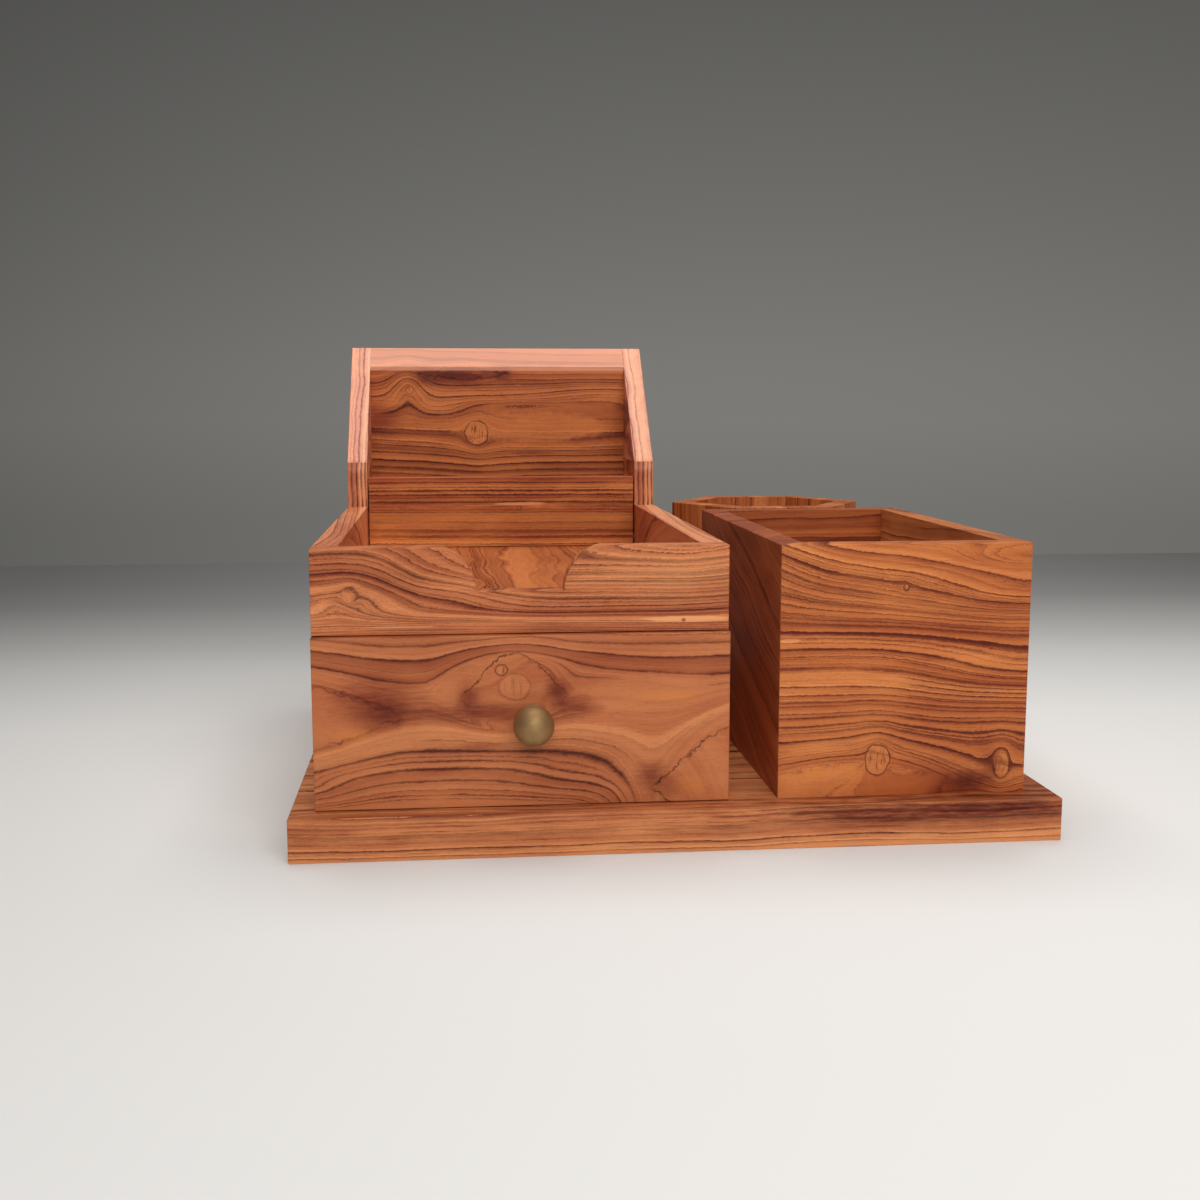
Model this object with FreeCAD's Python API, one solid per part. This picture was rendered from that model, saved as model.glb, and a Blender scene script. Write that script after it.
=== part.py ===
"""Wooden desk organizer: a square base board that carries a drawer cabinet with a note tray,
a letter slot behind a folding flap, an open box and a six-sided pen cup.

Millimetres. +X is to the right, +Y to the back, +Z up. The origin is the centre of the base
board's underside. Each sub-part is written to parts/ as a STEP file of its own.
"""
import FreeCAD, Part
import math
import os

os.makedirs("parts", exist_ok=True)

# ---------------------------------------------------------------- driving dimensions
board = 10.0                 # thickness of every wall board
base_thickness = 17.0
edge_ease = 0.25             # small chamfer on the edges that a hand meets
joint_clearance = 0.05       # room round tenons, screws and running pins

# Plan layout, from the base board's edges inwards
left_margin = 9.4
right_margin = 11.5
cabinet_front_margin = 10.0  # base front edge to the drawer's face
cabinet_back_margin = 11.5
box_front_margin = 11.5
cup_back_margin = 11.5
cabinet_box_gap = 19.7
cabinet_cup_gap = 12.5
box_cup_gap = 8.7

cabinet_width = 159.4
box_width = 100.0
box_depth = 180.0
cup_across_flats = 88.3

# Heights above the base board
rim_height = 100.0           # rims of the box, the cup and the note tray
tray_depth = 21.7            # rim to tray floor
knee_rise = 21.3             # rim to the corner where the cheeks start to slope back
cheek_rise = 83.0            # rim to the top of the cheeks and the back panel
knee_radius = 10.0
gable_seam_rise = 22.6       # rim to the glued joint under each gable

# Note tray front board with its finger notch
tray_front_setback = 4.0     # behind the drawer's face
tray_front_lap = 1.4         # how far it hangs below the tray floor
notch_width = 33.6
notch_depth = 17.0
notch_offset = -0.8          # from the cabinet's middle
notch_flare = 0.3            # flank radius beyond the notch depth
floor_housing = 4.0          # tray floor let into the side boards

# Letter slot and its folding flap
slot_depth = 42.0
flap_thickness = 8.0
flap_height = 36.3
flap_end_gap = 0.65
flap_floor_gap = 0.2
cove_gap = 0.3
flap_pin_diameter = 4.0
flap_pin_bite = 8.0          # length of a pin inside the flap
flap_pin_seat = 6.5          # length of a pin inside the side board
pin_seat_clearance = 0.02
flap_stop_size = 8.0
flap_stop_length = 14.0
flap_stop_drop = 4.0         # below the flap's top edge
flap_stop_gap = 0.3

# Drawer
drawer_face_gap = 0.3        # front board to the cabinet when shut
drawer_top_gap = 0.3
drawer_foot_gap = 0.3
drawer_side_gap = 0.7
drawer_board = 8.0
drawer_side_housing = 5.0
drawer_back_housing = 3.0
drawer_side_drop = 2.6       # side boards below the front board's top
drawer_rear_gap = 10.0
drawer_tail = 4.0            # side boards run past the back board
drawer_bottom_thickness = 4.0
drawer_bottom_lift = 5.0     # side board's lower edge to the bottom panel
drawer_bottom_housing = 4.0
runner_thickness = 1.5
runner_gap = 0.3
runner_front_inset = 6.0
drawer_travel = 165.0
drawer_stop_gap = 0.3
drawer_stop_width = 30.0
drawer_stop_depth = 12.0
drawer_stop_drop = 7.0       # below the tray floor, so that the drawer's back meets it
stop_screw_bite = 6.0        # length of its screw inside the tray floor

# Knob: a turned ball on a short neck, with a flat rose behind it
knob_offset = 3.3            # right of the drawer's middle
knob_ball_diameter = 15.5
knob_projection = 16.7
knob_neck_diameter = 6.8
rose_diameter = 13.4
rose_thickness = 1.2
rose_ease = 0.35
knob_screw_diameter = 4.0
knob_screw_bite = 7.0
knob_screw_head_diameter = 8.0
knob_screw_head_height = 2.4
knob_hole_end = 1.0

# Bottom panels of the box and the cup
panel_thickness = 6.0
panel_lift = 3.0
panel_housing = 3.0

# Box mitres: a stopped spline in each corner
spline_width = 8.0
spline_thickness = 2.5
spline_setback = 5.0         # inner corner to the spline's middle, along the mitre
spline_stop = 12.0           # below the rim
spline_foot = 2.0            # above the bottom panel

# Loose tenons, glued into a mortise in each board of a joint, and the drawer stop's screw
tenon_thickness = 3.0
tenon_width = 12.0
tenon_length = 16.0
tenon_end_gap = 0.5
tenon_outer_share = 0.7      # of a board's thickness, where a tenon ends in the outer board
tenon_end_inset = 35.0       # from a side board's ends to the tenons in its foot
back_tenon_spread = 80.0
back_tenon_heights = (0.25, 0.75)  # shares of the back panel's height
screw_diameter = 3.0
screw_head_diameter = 6.0
screw_head_height = 1.8
screw_sink = 0.8

# ---------------------------------------------------------------- worked-out places
base_width = left_margin + cabinet_width + cabinet_box_gap + box_width + right_margin
base_depth = box_front_margin + box_depth + box_cup_gap + cup_across_flats + cup_back_margin
base_left, base_right = -base_width / 2, base_width / 2
base_front, base_back = -base_depth / 2, base_depth / 2

base_top = base_thickness
rim_z = base_top + rim_height
floor_top = rim_z - tray_depth
floor_under = floor_top - board

cabinet_left = base_left + left_margin
cabinet_right = cabinet_left + cabinet_width
cabinet_middle = (cabinet_left + cabinet_right) / 2
cabinet_half_inside = cabinet_width / 2 - board
drawer_face = base_front + cabinet_front_margin
tray_face = drawer_face + tray_front_setback
side_front = tray_face + board
cabinet_back = base_back - cabinet_back_margin
back_panel_face = cabinet_back - board
flap_back = back_panel_face - slot_depth
upright_front = flap_back - flap_thickness
knee_z = rim_z + knee_rise
cabinet_top = rim_z + cheek_rise
slope_angle = math.atan2(cabinet_top - knee_z, cabinet_back - upright_front)
gable_seam = rim_z + gable_seam_rise

tray_front_foot = floor_under - tray_front_lap
drawer_front_top = tray_front_foot - drawer_top_gap
drawer_front_foot = base_top + drawer_foot_gap
drawer_front_back = side_front - drawer_face_gap
drawer_half = cabinet_half_inside - drawer_side_gap
drawer_half_inside = drawer_half - drawer_board
drawer_side_foot = base_top + runner_thickness + runner_gap
drawer_side_top = drawer_front_top - drawer_side_drop
drawer_side_end = back_panel_face - drawer_rear_gap
drawer_back_end = drawer_side_end - drawer_tail
drawer_back_face = drawer_back_end - drawer_board
drawer_stop_back = drawer_back_face - drawer_travel - drawer_stop_gap

hinge_y = upright_front + flap_thickness / 2
hinge_z = floor_top + flap_floor_gap + flap_thickness / 2
flap_foot = floor_top + flap_floor_gap
flap_top = flap_foot + flap_height
flap_half = cabinet_half_inside - flap_end_gap

knob_x = cabinet_middle + knob_offset
knob_z = (drawer_front_foot + drawer_front_top) / 2

box_left = cabinet_right + cabinet_box_gap
box_right = box_left + box_width
box_front = base_front + box_front_margin
box_back = box_front + box_depth

cup_corner_radius = cup_across_flats / math.sqrt(3)
cup_x = cabinet_right + cabinet_cup_gap + cup_corner_radius
cup_y = base_back - cup_back_margin - cup_across_flats / 2

X_AXIS = FreeCAD.Vector(1, 0, 0)
Y_AXIS = FreeCAD.Vector(0, 1, 0)
Z_AXIS = FreeCAD.Vector(0, 0, 1)
TINY = 1e-4
OVERSHOOT = 5.0              # how far a cutter runs past the stock


# ---------------------------------------------------------------- helpers
def save(shape, node):
    """Write one sub-part."""
    shape.exportStep("parts/" + node + ".step")


def block(x_span, y_span, z_span):
    """A board between three pairs of planes."""
    low = FreeCAD.Vector(x_span[0], y_span[0], z_span[0])
    return Part.makeBox(x_span[1] - x_span[0], y_span[1] - y_span[0], z_span[1] - z_span[0], low)


def about(middle, half):
    """The span from middle - half to middle + half."""
    return (middle - half, middle + half)


def rod(diameter, start, axis, length):
    return Part.makeCylinder(diameter / 2, length, start, axis)


def ease(shape, wanted, size=edge_ease):
    """Chamfer the edges for which wanted(low corner, high corner) is true."""
    picked = []
    for edge in shape.Edges:
        bounds = edge.BoundBox
        low = (bounds.XMin, bounds.YMin, bounds.ZMin)
        high = (bounds.XMax, bounds.YMax, bounds.ZMax)
        if wanted(low, high):
            picked.append(edge)
    return shape.makeChamfer(size, picked)


def lies_at(low, high, axis, place):
    """True when an edge lies in the plane axis = place (0 is X, 1 is Y, 2 is Z)."""
    return abs(low[axis] - place) < TINY and abs(high[axis] - place) < TINY


def prism(points, height, foot):
    """An upright prism over a closed outline of (x, y) points, standing at z = foot."""
    corners = [FreeCAD.Vector(x, y, foot) for x, y in points]
    outline = Part.makePolygon(corners + [corners[0]])
    return Part.Face(outline).extrude(Z_AXIS * height)


def countersunk_screw(x, y, z, length, room=0.0):
    """A screw driven upwards with its head's flat at z; room makes the hole for it."""
    head_radius = screw_head_diameter / 2 + room
    shank_radius = screw_diameter / 2 + room
    foot = FreeCAD.Vector(x, y, z)
    head = Part.makeCone(head_radius, shank_radius, screw_head_height, foot, Z_AXIS)
    shank = Part.makeCylinder(shank_radius, length, foot, Z_AXIS)
    screw = head.fuse(shank).removeSplitter()
    if room:
        depth = screw_sink + OVERSHOOT
        screw = screw.fuse(Part.makeCylinder(head_radius, depth, foot - Z_AXIS * depth, Z_AXIS))
    return screw


def loose_tenon(centre, along, across, room=0.0):
    """A flat tenon with its length along one direction; room makes the mortises for it."""
    length = tenon_length + 2 * (tenon_end_gap if room else 0.0)
    reach = across * (tenon_width / 2 + room)
    thick = along.cross(across) * (tenon_thickness / 2 + room)
    foot = centre - along * (length / 2)
    corners = [foot + reach + thick, foot - reach + thick, foot - reach - thick, foot + reach - thick]
    outline = Part.makePolygon(corners + [corners[0]])
    return Part.Face(outline).extrude(along * length)


def mortised(shape, tenons):
    """Cut the mortises for these tenons into a board."""
    for centre, along, across in tenons:
        shape = shape.cut(loose_tenon(centre, along, across, joint_clearance))
    return shape


# ---------------------------------------------------------------- where the tenons go
# Each is given by its centre and the directions of its length and its width.
def foot_tenon(x, y, across):
    """A tenon between the base board and a wall that stands on it."""
    return (FreeCAD.Vector(x, y, base_top), Z_AXIS, across)


side_middles = (cabinet_left + board / 2, cabinet_right - board / 2)
side_foot_tenons = [
    foot_tenon(x, y, Y_AXIS)
    for x in side_middles
    for y in (side_front + tenon_end_inset, cabinet_back - tenon_end_inset)
]
back_foot_tenons = [
    foot_tenon(cabinet_middle + side * back_tenon_spread / 2, cabinet_back - board / 2, X_AXIS)
    for side in (-1, 1)
]
box_middle = ((box_left + box_right) / 2, (box_front + box_back) / 2)
box_foot_tenons = [
    foot_tenon(box_middle[0], box_front + board / 2, X_AXIS),
    foot_tenon(box_middle[0], box_back - board / 2, X_AXIS),
    foot_tenon(box_left + board / 2, box_middle[1], Y_AXIS),
    foot_tenon(box_right - board / 2, box_middle[1], Y_AXIS),
]
cup_wall_middle = (cup_across_flats - board) / 2
cup_tenon_turns = [math.radians(turn) for turn in (90, 210, 330)]
cup_foot_tenons = [
    foot_tenon(
        cup_x + cup_wall_middle * math.cos(turn),
        cup_y + cup_wall_middle * math.sin(turn),
        FreeCAD.Vector(-math.sin(turn), math.cos(turn), 0),
    )
    for turn in cup_tenon_turns
]
tray_tenon_y = side_front - board * tenon_outer_share + tenon_length / 2
tray_front_tenons = [
    (FreeCAD.Vector(x, tray_tenon_y, floor_top + tray_depth / 2), Y_AXIS, Z_AXIS) for x in side_middles
]
back_tenon_reach = cabinet_half_inside + board * tenon_outer_share - tenon_length / 2
back_panel_tenons = [
    (
        FreeCAD.Vector(
            cabinet_middle + side * back_tenon_reach,
            cabinet_back - board / 2,
            base_top + share * (cabinet_top - base_top),
        ),
        X_AXIS,
        Z_AXIS,
    )
    for side in (-1, 1)
    for share in back_tenon_heights
]


# ---------------------------------------------------------------- base board
def make_base_board():
    base = block((base_left, base_right), (base_front, base_back), (0, base_thickness))
    base = base.makeChamfer(edge_ease, base.Edges)
    return mortised(base, side_foot_tenons + back_foot_tenons + box_foot_tenons + cup_foot_tenons)


# ---------------------------------------------------------------- cabinet
def cheek_outline(x):
    """Outline of one side of the cabinet: tray wall, upright edge, rounded knee and slope."""
    half = (math.pi / 2 - slope_angle) / 2
    tangent = knee_radius * math.tan(half)
    knee_foot = (upright_front, knee_z - tangent)
    knee_end = (
        upright_front + tangent * math.cos(slope_angle),
        knee_z + tangent * math.sin(slope_angle),
    )
    centre_y = upright_front + knee_radius
    knee_middle = (
        centre_y - knee_radius * math.cos(half),
        knee_foot[1] + knee_radius * math.sin(half),
    )

    def at(point):
        return FreeCAD.Vector(x, point[0], point[1])

    before = [(side_front, base_top), (side_front, rim_z), (upright_front, rim_z), knee_foot]
    after = [knee_end, (cabinet_back, cabinet_top), (cabinet_back, base_top), (side_front, base_top)]
    edges = [Part.LineSegment(at(a), at(b)).toShape() for a, b in zip(before, before[1:])]
    edges.append(Part.Arc(at(knee_foot), at(knee_middle), at(knee_end)).toShape())
    edges += [Part.LineSegment(at(a), at(b)).toShape() for a, b in zip(after, after[1:])]
    return Part.Wire(edges)


def make_cheek(outer_x, inward):
    """Side board and gable in one; inward is +1 on the left and -1 on the right."""
    cheek = Part.Face(cheek_outline(outer_x)).extrude(X_AXIS * board * inward)
    return ease(cheek, lambda low, high: lies_at(low, high, 0, outer_x) and high[2] > base_top + TINY)


def above_seam():
    return block(
        (cabinet_left - OVERSHOOT, cabinet_right + OVERSHOOT),
        (upright_front - OVERSHOOT, cabinet_back + OVERSHOOT),
        (gable_seam, cabinet_top + OVERSHOOT),
    )


def make_cabinet_side(outer_x, inward):
    """The side board up to the seam, with the tray wall and the upright stepped out of it."""
    side = make_cheek(outer_x, inward).cut(above_seam())
    inner_x = outer_x + inward * board
    housing_x = sorted((inner_x, inner_x - inward * floor_housing))
    side = side.cut(block(housing_x, (side_front, back_panel_face), (floor_under, floor_top)))
    bore_start = FreeCAD.Vector(inner_x - inward * flap_pin_seat, hinge_y, hinge_z)
    bore_diameter = flap_pin_diameter + 2 * pin_seat_clearance
    side = side.cut(rod(bore_diameter, bore_start, X_AXIS * inward, board))
    return mortised(side, side_foot_tenons + tray_front_tenons + back_panel_tenons)


def make_gable(outer_x, inward):
    """The sloping top of a side, glued on at the seam."""
    gable = make_cheek(outer_x, inward).common(above_seam())
    return mortised(gable, back_panel_tenons)


def make_back_panel():
    """Stands between the side boards; its top is bevelled to lie flush with their slopes."""
    span = about(cabinet_middle, cabinet_half_inside)
    panel = block(span, (back_panel_face, cabinet_back), (base_top, cabinet_top))
    rise = board * math.tan(slope_angle)
    waste = [
        FreeCAD.Vector(span[0], back_panel_face, cabinet_top - rise),
        FreeCAD.Vector(span[0], back_panel_face, cabinet_top + OVERSHOOT),
        FreeCAD.Vector(span[0], cabinet_back, cabinet_top + OVERSHOOT),
        FreeCAD.Vector(span[0], cabinet_back, cabinet_top),
    ]
    bevel = Part.Face(Part.makePolygon(waste + [waste[0]])).extrude(X_AXIS * (span[1] - span[0]))
    panel = panel.cut(bevel)
    return mortised(panel, back_foot_tenons + back_panel_tenons)


def make_tray_floor():
    """Housed in both side boards, with a cove that lets the flap's lower edge turn."""
    span = about(cabinet_middle, cabinet_half_inside + floor_housing)
    floor = block(span, (side_front, back_panel_face), (floor_under, floor_top))
    half = flap_thickness / 2
    cove_radius = math.hypot(half, half - edge_ease) + cove_gap
    start = FreeCAD.Vector(cabinet_middle - cabinet_half_inside, hinge_y, hinge_z)
    floor = floor.cut(rod(2 * cove_radius, start, X_AXIS, 2 * cabinet_half_inside))
    return floor.cut(make_drawer_stop_screw(joint_clearance))


def make_tray_front():
    """Overlays the side boards' ends; a finger notch with rounded flanks is cut in its rim."""
    front = block((cabinet_left, cabinet_right), (tray_face, side_front), (tray_front_foot, rim_z))

    def outer_edge(low, high):
        at_end = lies_at(low, high, 0, cabinet_left) or lies_at(low, high, 0, cabinet_right)
        return lies_at(low, high, 1, tray_face) or (at_end and lies_at(low, high, 2, rim_z))

    front = ease(front, outer_edge)
    radius = notch_depth + notch_flare
    sweep = math.asin(notch_depth / radius)
    middle = cabinet_middle + notch_offset
    bottom = rim_z - notch_depth

    def flank(side):
        """Foot, middle and top of one flank: an arc about a centre inside the wood."""
        centre = middle + side * (notch_width / 2 + radius)
        turns = (0.0, sweep / 2, sweep)
        return [
            FreeCAD.Vector(centre - side * radius * math.cos(a), tray_face, bottom + radius * math.sin(a))
            for a in turns
        ]

    left, right = flank(-1), flank(1)
    left_top = left[2] + Z_AXIS * OVERSHOOT
    right_top = right[2] + Z_AXIS * OVERSHOOT
    edges = [
        Part.Arc(left[2], left[1], left[0]).toShape(),
        Part.LineSegment(left[0], right[0]).toShape(),
        Part.Arc(right[0], right[1], right[2]).toShape(),
        Part.LineSegment(right[2], right_top).toShape(),
        Part.LineSegment(right_top, left_top).toShape(),
        Part.LineSegment(left_top, left[2]).toShape(),
    ]
    cutter = Part.Face(Part.Wire(edges)).extrude(Y_AXIS * (board + 2 * OVERSHOOT))
    front = front.cut(cutter.translated(Y_AXIS * -OVERSHOOT))
    return mortised(front, tray_front_tenons)


# ---------------------------------------------------------------- folding flap
def make_flap():
    flap = block(about(cabinet_middle, flap_half), (upright_front, flap_back), (flap_foot, flap_top))
    flap = flap.makeChamfer(edge_ease, flap.Edges)
    bore_diameter = flap_pin_diameter + 2 * joint_clearance
    bore_length = flap_pin_bite + tenon_end_gap
    for side in (-1, 1):
        start = FreeCAD.Vector(cabinet_middle + side * (flap_half + OVERSHOOT), hinge_y, hinge_z)
        flap = flap.cut(rod(bore_diameter, start, X_AXIS * -side, bore_length + OVERSHOOT))
    return flap


def make_flap_pin(inner_x, inward):
    start = FreeCAD.Vector(inner_x - inward * flap_pin_seat, hinge_y, hinge_z)
    length = flap_pin_seat + flap_end_gap + flap_pin_bite
    return rod(flap_pin_diameter, start, X_AXIS * inward, length)


def make_flap_stop(inner_x, inward):
    """A block glued to the cheek behind the flap, hidden below the flap's top edge."""
    x_span = sorted((inner_x, inner_x + inward * flap_stop_size))
    y_start = flap_back + flap_stop_gap
    z_end = flap_top - flap_stop_drop
    stop = block(x_span, (y_start, y_start + flap_stop_size), (z_end - flap_stop_length, z_end))
    free_x = inner_x + inward * flap_stop_size
    return ease(stop, lambda low, high: lies_at(low, high, 0, free_x))


# ---------------------------------------------------------------- drawer
def drawer_bottom_block():
    lift = drawer_side_foot + drawer_bottom_lift
    return block(
        about(cabinet_middle, drawer_half_inside + drawer_bottom_housing),
        (drawer_front_back - drawer_bottom_housing, drawer_back_face + drawer_bottom_housing),
        (lift, lift + drawer_bottom_thickness),
    )


def drawer_side_block(side):
    x_span = sorted((cabinet_middle + side * drawer_half, cabinet_middle + side * drawer_half_inside))
    y_span = (drawer_front_back - drawer_side_housing, drawer_side_end)
    return block(x_span, y_span, (drawer_side_foot, drawer_side_top))


def drawer_back_block():
    return block(
        about(cabinet_middle, drawer_half_inside + drawer_back_housing),
        (drawer_back_face, drawer_back_end),
        (drawer_side_foot, drawer_side_top),
    )


def make_drawer_front():
    front = block(
        (cabinet_left, cabinet_right),
        (drawer_face, drawer_front_back),
        (drawer_front_foot, drawer_front_top),
    )
    front = ease(front, lambda low, high: lies_at(low, high, 1, drawer_face))
    for side in (-1, 1):
        front = front.cut(drawer_side_block(side))
    front = front.cut(drawer_bottom_block())
    hole_start = FreeCAD.Vector(knob_x, drawer_face - OVERSHOOT, knob_z)
    hole_length = drawer_front_back - drawer_face + 2 * OVERSHOOT
    return front.cut(rod(knob_screw_diameter + 2 * joint_clearance, hole_start, Y_AXIS, hole_length))


def make_drawer_side(side):
    board_shape = drawer_side_block(side)

    def long_top_edge(low, high):
        return lies_at(low, high, 2, drawer_side_top) and high[1] - low[1] > board

    board_shape = ease(board_shape, long_top_edge)
    return board_shape.cut(drawer_bottom_block()).cut(drawer_back_block())


def make_drawer_back():
    back = drawer_back_block()
    return back.cut(drawer_bottom_block())


def make_runner(side):
    """A hardwood slip glued to the base, under one drawer side."""
    halves = (cabinet_half_inside, drawer_half_inside)
    x_span = sorted(cabinet_middle + side * half for half in halves)
    y_span = (side_front + runner_front_inset, back_panel_face)
    return block(x_span, y_span, (base_top, base_top + runner_thickness))


def make_drawer_stop():
    """A block under the tray floor, screwed on from inside the drawer once that is in place."""
    stop = block(
        about(cabinet_middle, drawer_stop_width / 2),
        (drawer_stop_back - drawer_stop_depth, drawer_stop_back),
        (floor_under - drawer_stop_drop, floor_under),
    )
    stop = ease(stop, lambda low, high: lies_at(low, high, 2, floor_under - drawer_stop_drop))
    return stop.cut(make_drawer_stop_screw(joint_clearance))


def make_drawer_stop_screw(room=0.0):
    head_flat = floor_under - drawer_stop_drop + screw_sink
    length = floor_under + stop_screw_bite - head_flat
    middle_y = drawer_stop_back - drawer_stop_depth / 2
    return countersunk_screw(cabinet_middle, middle_y, head_flat, length, room)


# ---------------------------------------------------------------- knob
def turned(profile):
    """Spin a closed profile of edges about the knob's axis."""
    face = Part.Face(Part.Wire(profile))
    middle = FreeCAD.Vector(knob_x, drawer_face, knob_z)
    return face.revolve(middle, Y_AXIS, 360)


def knob_point(distance, radius):
    """A profile point at a distance from the drawer's face and a radius from the axis."""
    return FreeCAD.Vector(knob_x, drawer_face - distance, knob_z + radius)


def make_knob():
    ball_radius = knob_ball_diameter / 2
    neck_radius = knob_neck_diameter / 2
    hole_radius = knob_screw_diameter / 2 + joint_clearance
    centre = knob_projection - ball_radius
    neck_end = centre - math.sqrt(ball_radius ** 2 - neck_radius ** 2)
    half_turn = (math.pi - math.asin(neck_radius / ball_radius)) / 2
    arc_middle = knob_point(centre + ball_radius * math.cos(half_turn), ball_radius * math.sin(half_turn))
    hole_depth = knob_screw_bite + rose_thickness + knob_hole_end
    corners = [
        knob_point(knob_projection, 0),
        knob_point(hole_depth, 0),
        knob_point(hole_depth, hole_radius),
        knob_point(rose_thickness, hole_radius),
        knob_point(rose_thickness, neck_radius),
        knob_point(neck_end, neck_radius),
    ]
    edges = [Part.LineSegment(a, b).toShape() for a, b in zip(corners, corners[1:])]
    edges.append(Part.Arc(corners[-1], arc_middle, corners[0]).toShape())
    return turned(edges)


def make_knob_rose():
    hole_radius = knob_screw_diameter / 2 + joint_clearance
    rim_radius = rose_diameter / 2
    corners = [
        knob_point(0, hole_radius),
        knob_point(0, rim_radius),
        knob_point(rose_thickness - rose_ease, rim_radius),
        knob_point(rose_thickness, rim_radius - rose_ease),
        knob_point(rose_thickness, hole_radius),
        knob_point(0, hole_radius),
    ]
    return turned([Part.LineSegment(a, b).toShape() for a, b in zip(corners, corners[1:])])


def make_knob_screw():
    """A machine screw from inside the drawer, through the front board into the knob."""
    wall = drawer_front_back - drawer_face
    start = FreeCAD.Vector(knob_x, drawer_front_back, knob_z)
    shank = rod(knob_screw_diameter, start, Y_AXIS * -1, wall + rose_thickness + knob_screw_bite)
    head = rod(knob_screw_head_diameter, start, Y_AXIS, knob_screw_head_height)
    head = ease(head, lambda low, high: lies_at(low, high, 1, drawer_front_back + knob_screw_head_height))
    return shank.fuse(head).removeSplitter()


# ---------------------------------------------------------------- open box
def box_bottom_block():
    inset = board - panel_housing
    foot = base_top + panel_lift
    return block(
        (box_left + inset, box_right - inset),
        (box_front + inset, box_back - inset),
        (foot, foot + panel_thickness),
    )


def box_corner(x_side, y_side):
    """Inner corner of the box, and the outward diagonal through it."""
    corner_x = box_left + board if x_side < 0 else box_right - board
    corner_y = box_front + board if y_side < 0 else box_back - board
    return corner_x, corner_y


def make_spline(x_side, y_side, room=0.0):
    """A stopped key across one mitre, hidden from outside and from above."""
    corner_x, corner_y = box_corner(x_side, y_side)
    foot = base_top + panel_lift + panel_thickness + spline_foot
    height = rim_z - spline_stop - foot
    low = FreeCAD.Vector(-spline_thickness / 2, -spline_width / 2, foot)
    key = Part.makeBox(spline_thickness, spline_width, height, low)
    key.rotate(FreeCAD.Vector(0, 0, 0), Z_AXIS, math.degrees(math.atan2(y_side, x_side)))
    shift = spline_setback / math.sqrt(2)
    return key.translated(FreeCAD.Vector(corner_x + x_side * shift, corner_y + y_side * shift, 0))


BOX_CORNERS = [(-1, -1), (1, -1), (1, 1), (-1, 1)]


def make_box_ring():
    """All four walls in one piece, before the mitres part them."""
    outer = block((box_left, box_right), (box_front, box_back), (base_top, rim_z))
    outer = ease(outer, lambda low, high: high[2] > base_top + TINY)
    inner = block(
        (box_left + board, box_right - board),
        (box_front + board, box_back - board),
        (base_top - OVERSHOOT, rim_z + OVERSHOOT),
    )
    ring = outer.cut(inner).cut(box_bottom_block())
    for x_side, y_side in BOX_CORNERS:
        ring = ring.cut(make_spline(x_side, y_side))
    return mortised(ring, box_foot_tenons)


def mitred_wall(ring, near_corners):
    """The part of the box ring between the mitres at two neighbouring corners."""
    reach = 2 * board
    points = []
    for x_side, y_side in near_corners:
        corner_x, corner_y = box_corner(x_side, y_side)
        points.append((corner_x - x_side * board, corner_y - y_side * board))
        points.append((corner_x + x_side * reach, corner_y + y_side * reach))
    inner_a, outer_a, inner_b, outer_b = points
    wedge = prism([inner_a, outer_a, outer_b, inner_b], rim_height + 2 * OVERSHOOT, base_top - OVERSHOOT)
    return ring.common(wedge)


# ---------------------------------------------------------------- pen cup
def hexagon(across_flats, foot, height):
    radius = across_flats / math.sqrt(3)
    turns = [math.radians(60 * i) for i in range(6)]
    points = [(cup_x + radius * math.cos(a), cup_y + radius * math.sin(a)) for a in turns]
    return prism(points, height, foot)


def make_cup_bottom():
    inside = cup_across_flats - 2 * board + 2 * panel_housing
    return hexagon(inside, base_top + panel_lift, panel_thickness)


def make_cup_ring():
    outer = hexagon(cup_across_flats, base_top, rim_height)
    outer = ease(outer, lambda low, high: high[2] > base_top + TINY)
    inner = hexagon(cup_across_flats - 2 * board, base_top - OVERSHOOT, rim_height + 2 * OVERSHOOT)
    ring = outer.cut(inner).cut(make_cup_bottom())
    return mortised(ring, cup_foot_tenons)


def cup_stave(ring, index):
    """One of six staves, parted from the ring by the mitres at its two corners."""
    reach = 2 * cup_corner_radius
    points = [(cup_x, cup_y)]
    for step in (index, index + 1):
        turn = math.radians(60 * step)
        points.append((cup_x + reach * math.cos(turn), cup_y + reach * math.sin(turn)))
    return ring.common(prism(points, rim_height + 2 * OVERSHOOT, base_top - OVERSHOOT))


# ---------------------------------------------------------------- build and write
save(make_base_board(), "base_board")

save(make_cabinet_side(cabinet_left, 1), "cabinet_left_side")
save(make_cabinet_side(cabinet_right, -1), "cabinet_right_side")
save(make_gable(cabinet_left, 1), "cabinet_left_gable")
save(make_gable(cabinet_right, -1), "cabinet_right_gable")
save(make_back_panel(), "cabinet_back_panel")
save(make_tray_floor(), "tray_floor")
save(make_tray_front(), "tray_front")

save(make_flap(), "lift_flap")
save(make_flap_pin(cabinet_left + board, 1), "flap_pin_left")
save(make_flap_pin(cabinet_right - board, -1), "flap_pin_right")
save(make_flap_stop(cabinet_left + board, 1), "flap_stop_left")
save(make_flap_stop(cabinet_right - board, -1), "flap_stop_right")

save(make_drawer_front(), "drawer_front")
save(make_drawer_side(-1), "drawer_left_side")
save(make_drawer_side(1), "drawer_right_side")
save(make_drawer_back(), "drawer_back")
save(drawer_bottom_block(), "drawer_bottom")
save(make_runner(-1), "drawer_runner_left")
save(make_runner(1), "drawer_runner_right")
save(make_drawer_stop(), "drawer_stop")
save(make_drawer_stop_screw(), "drawer_stop_screw")

save(make_knob(), "knob")
save(make_knob_rose(), "knob_rose")
save(make_knob_screw(), "knob_screw")

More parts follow.
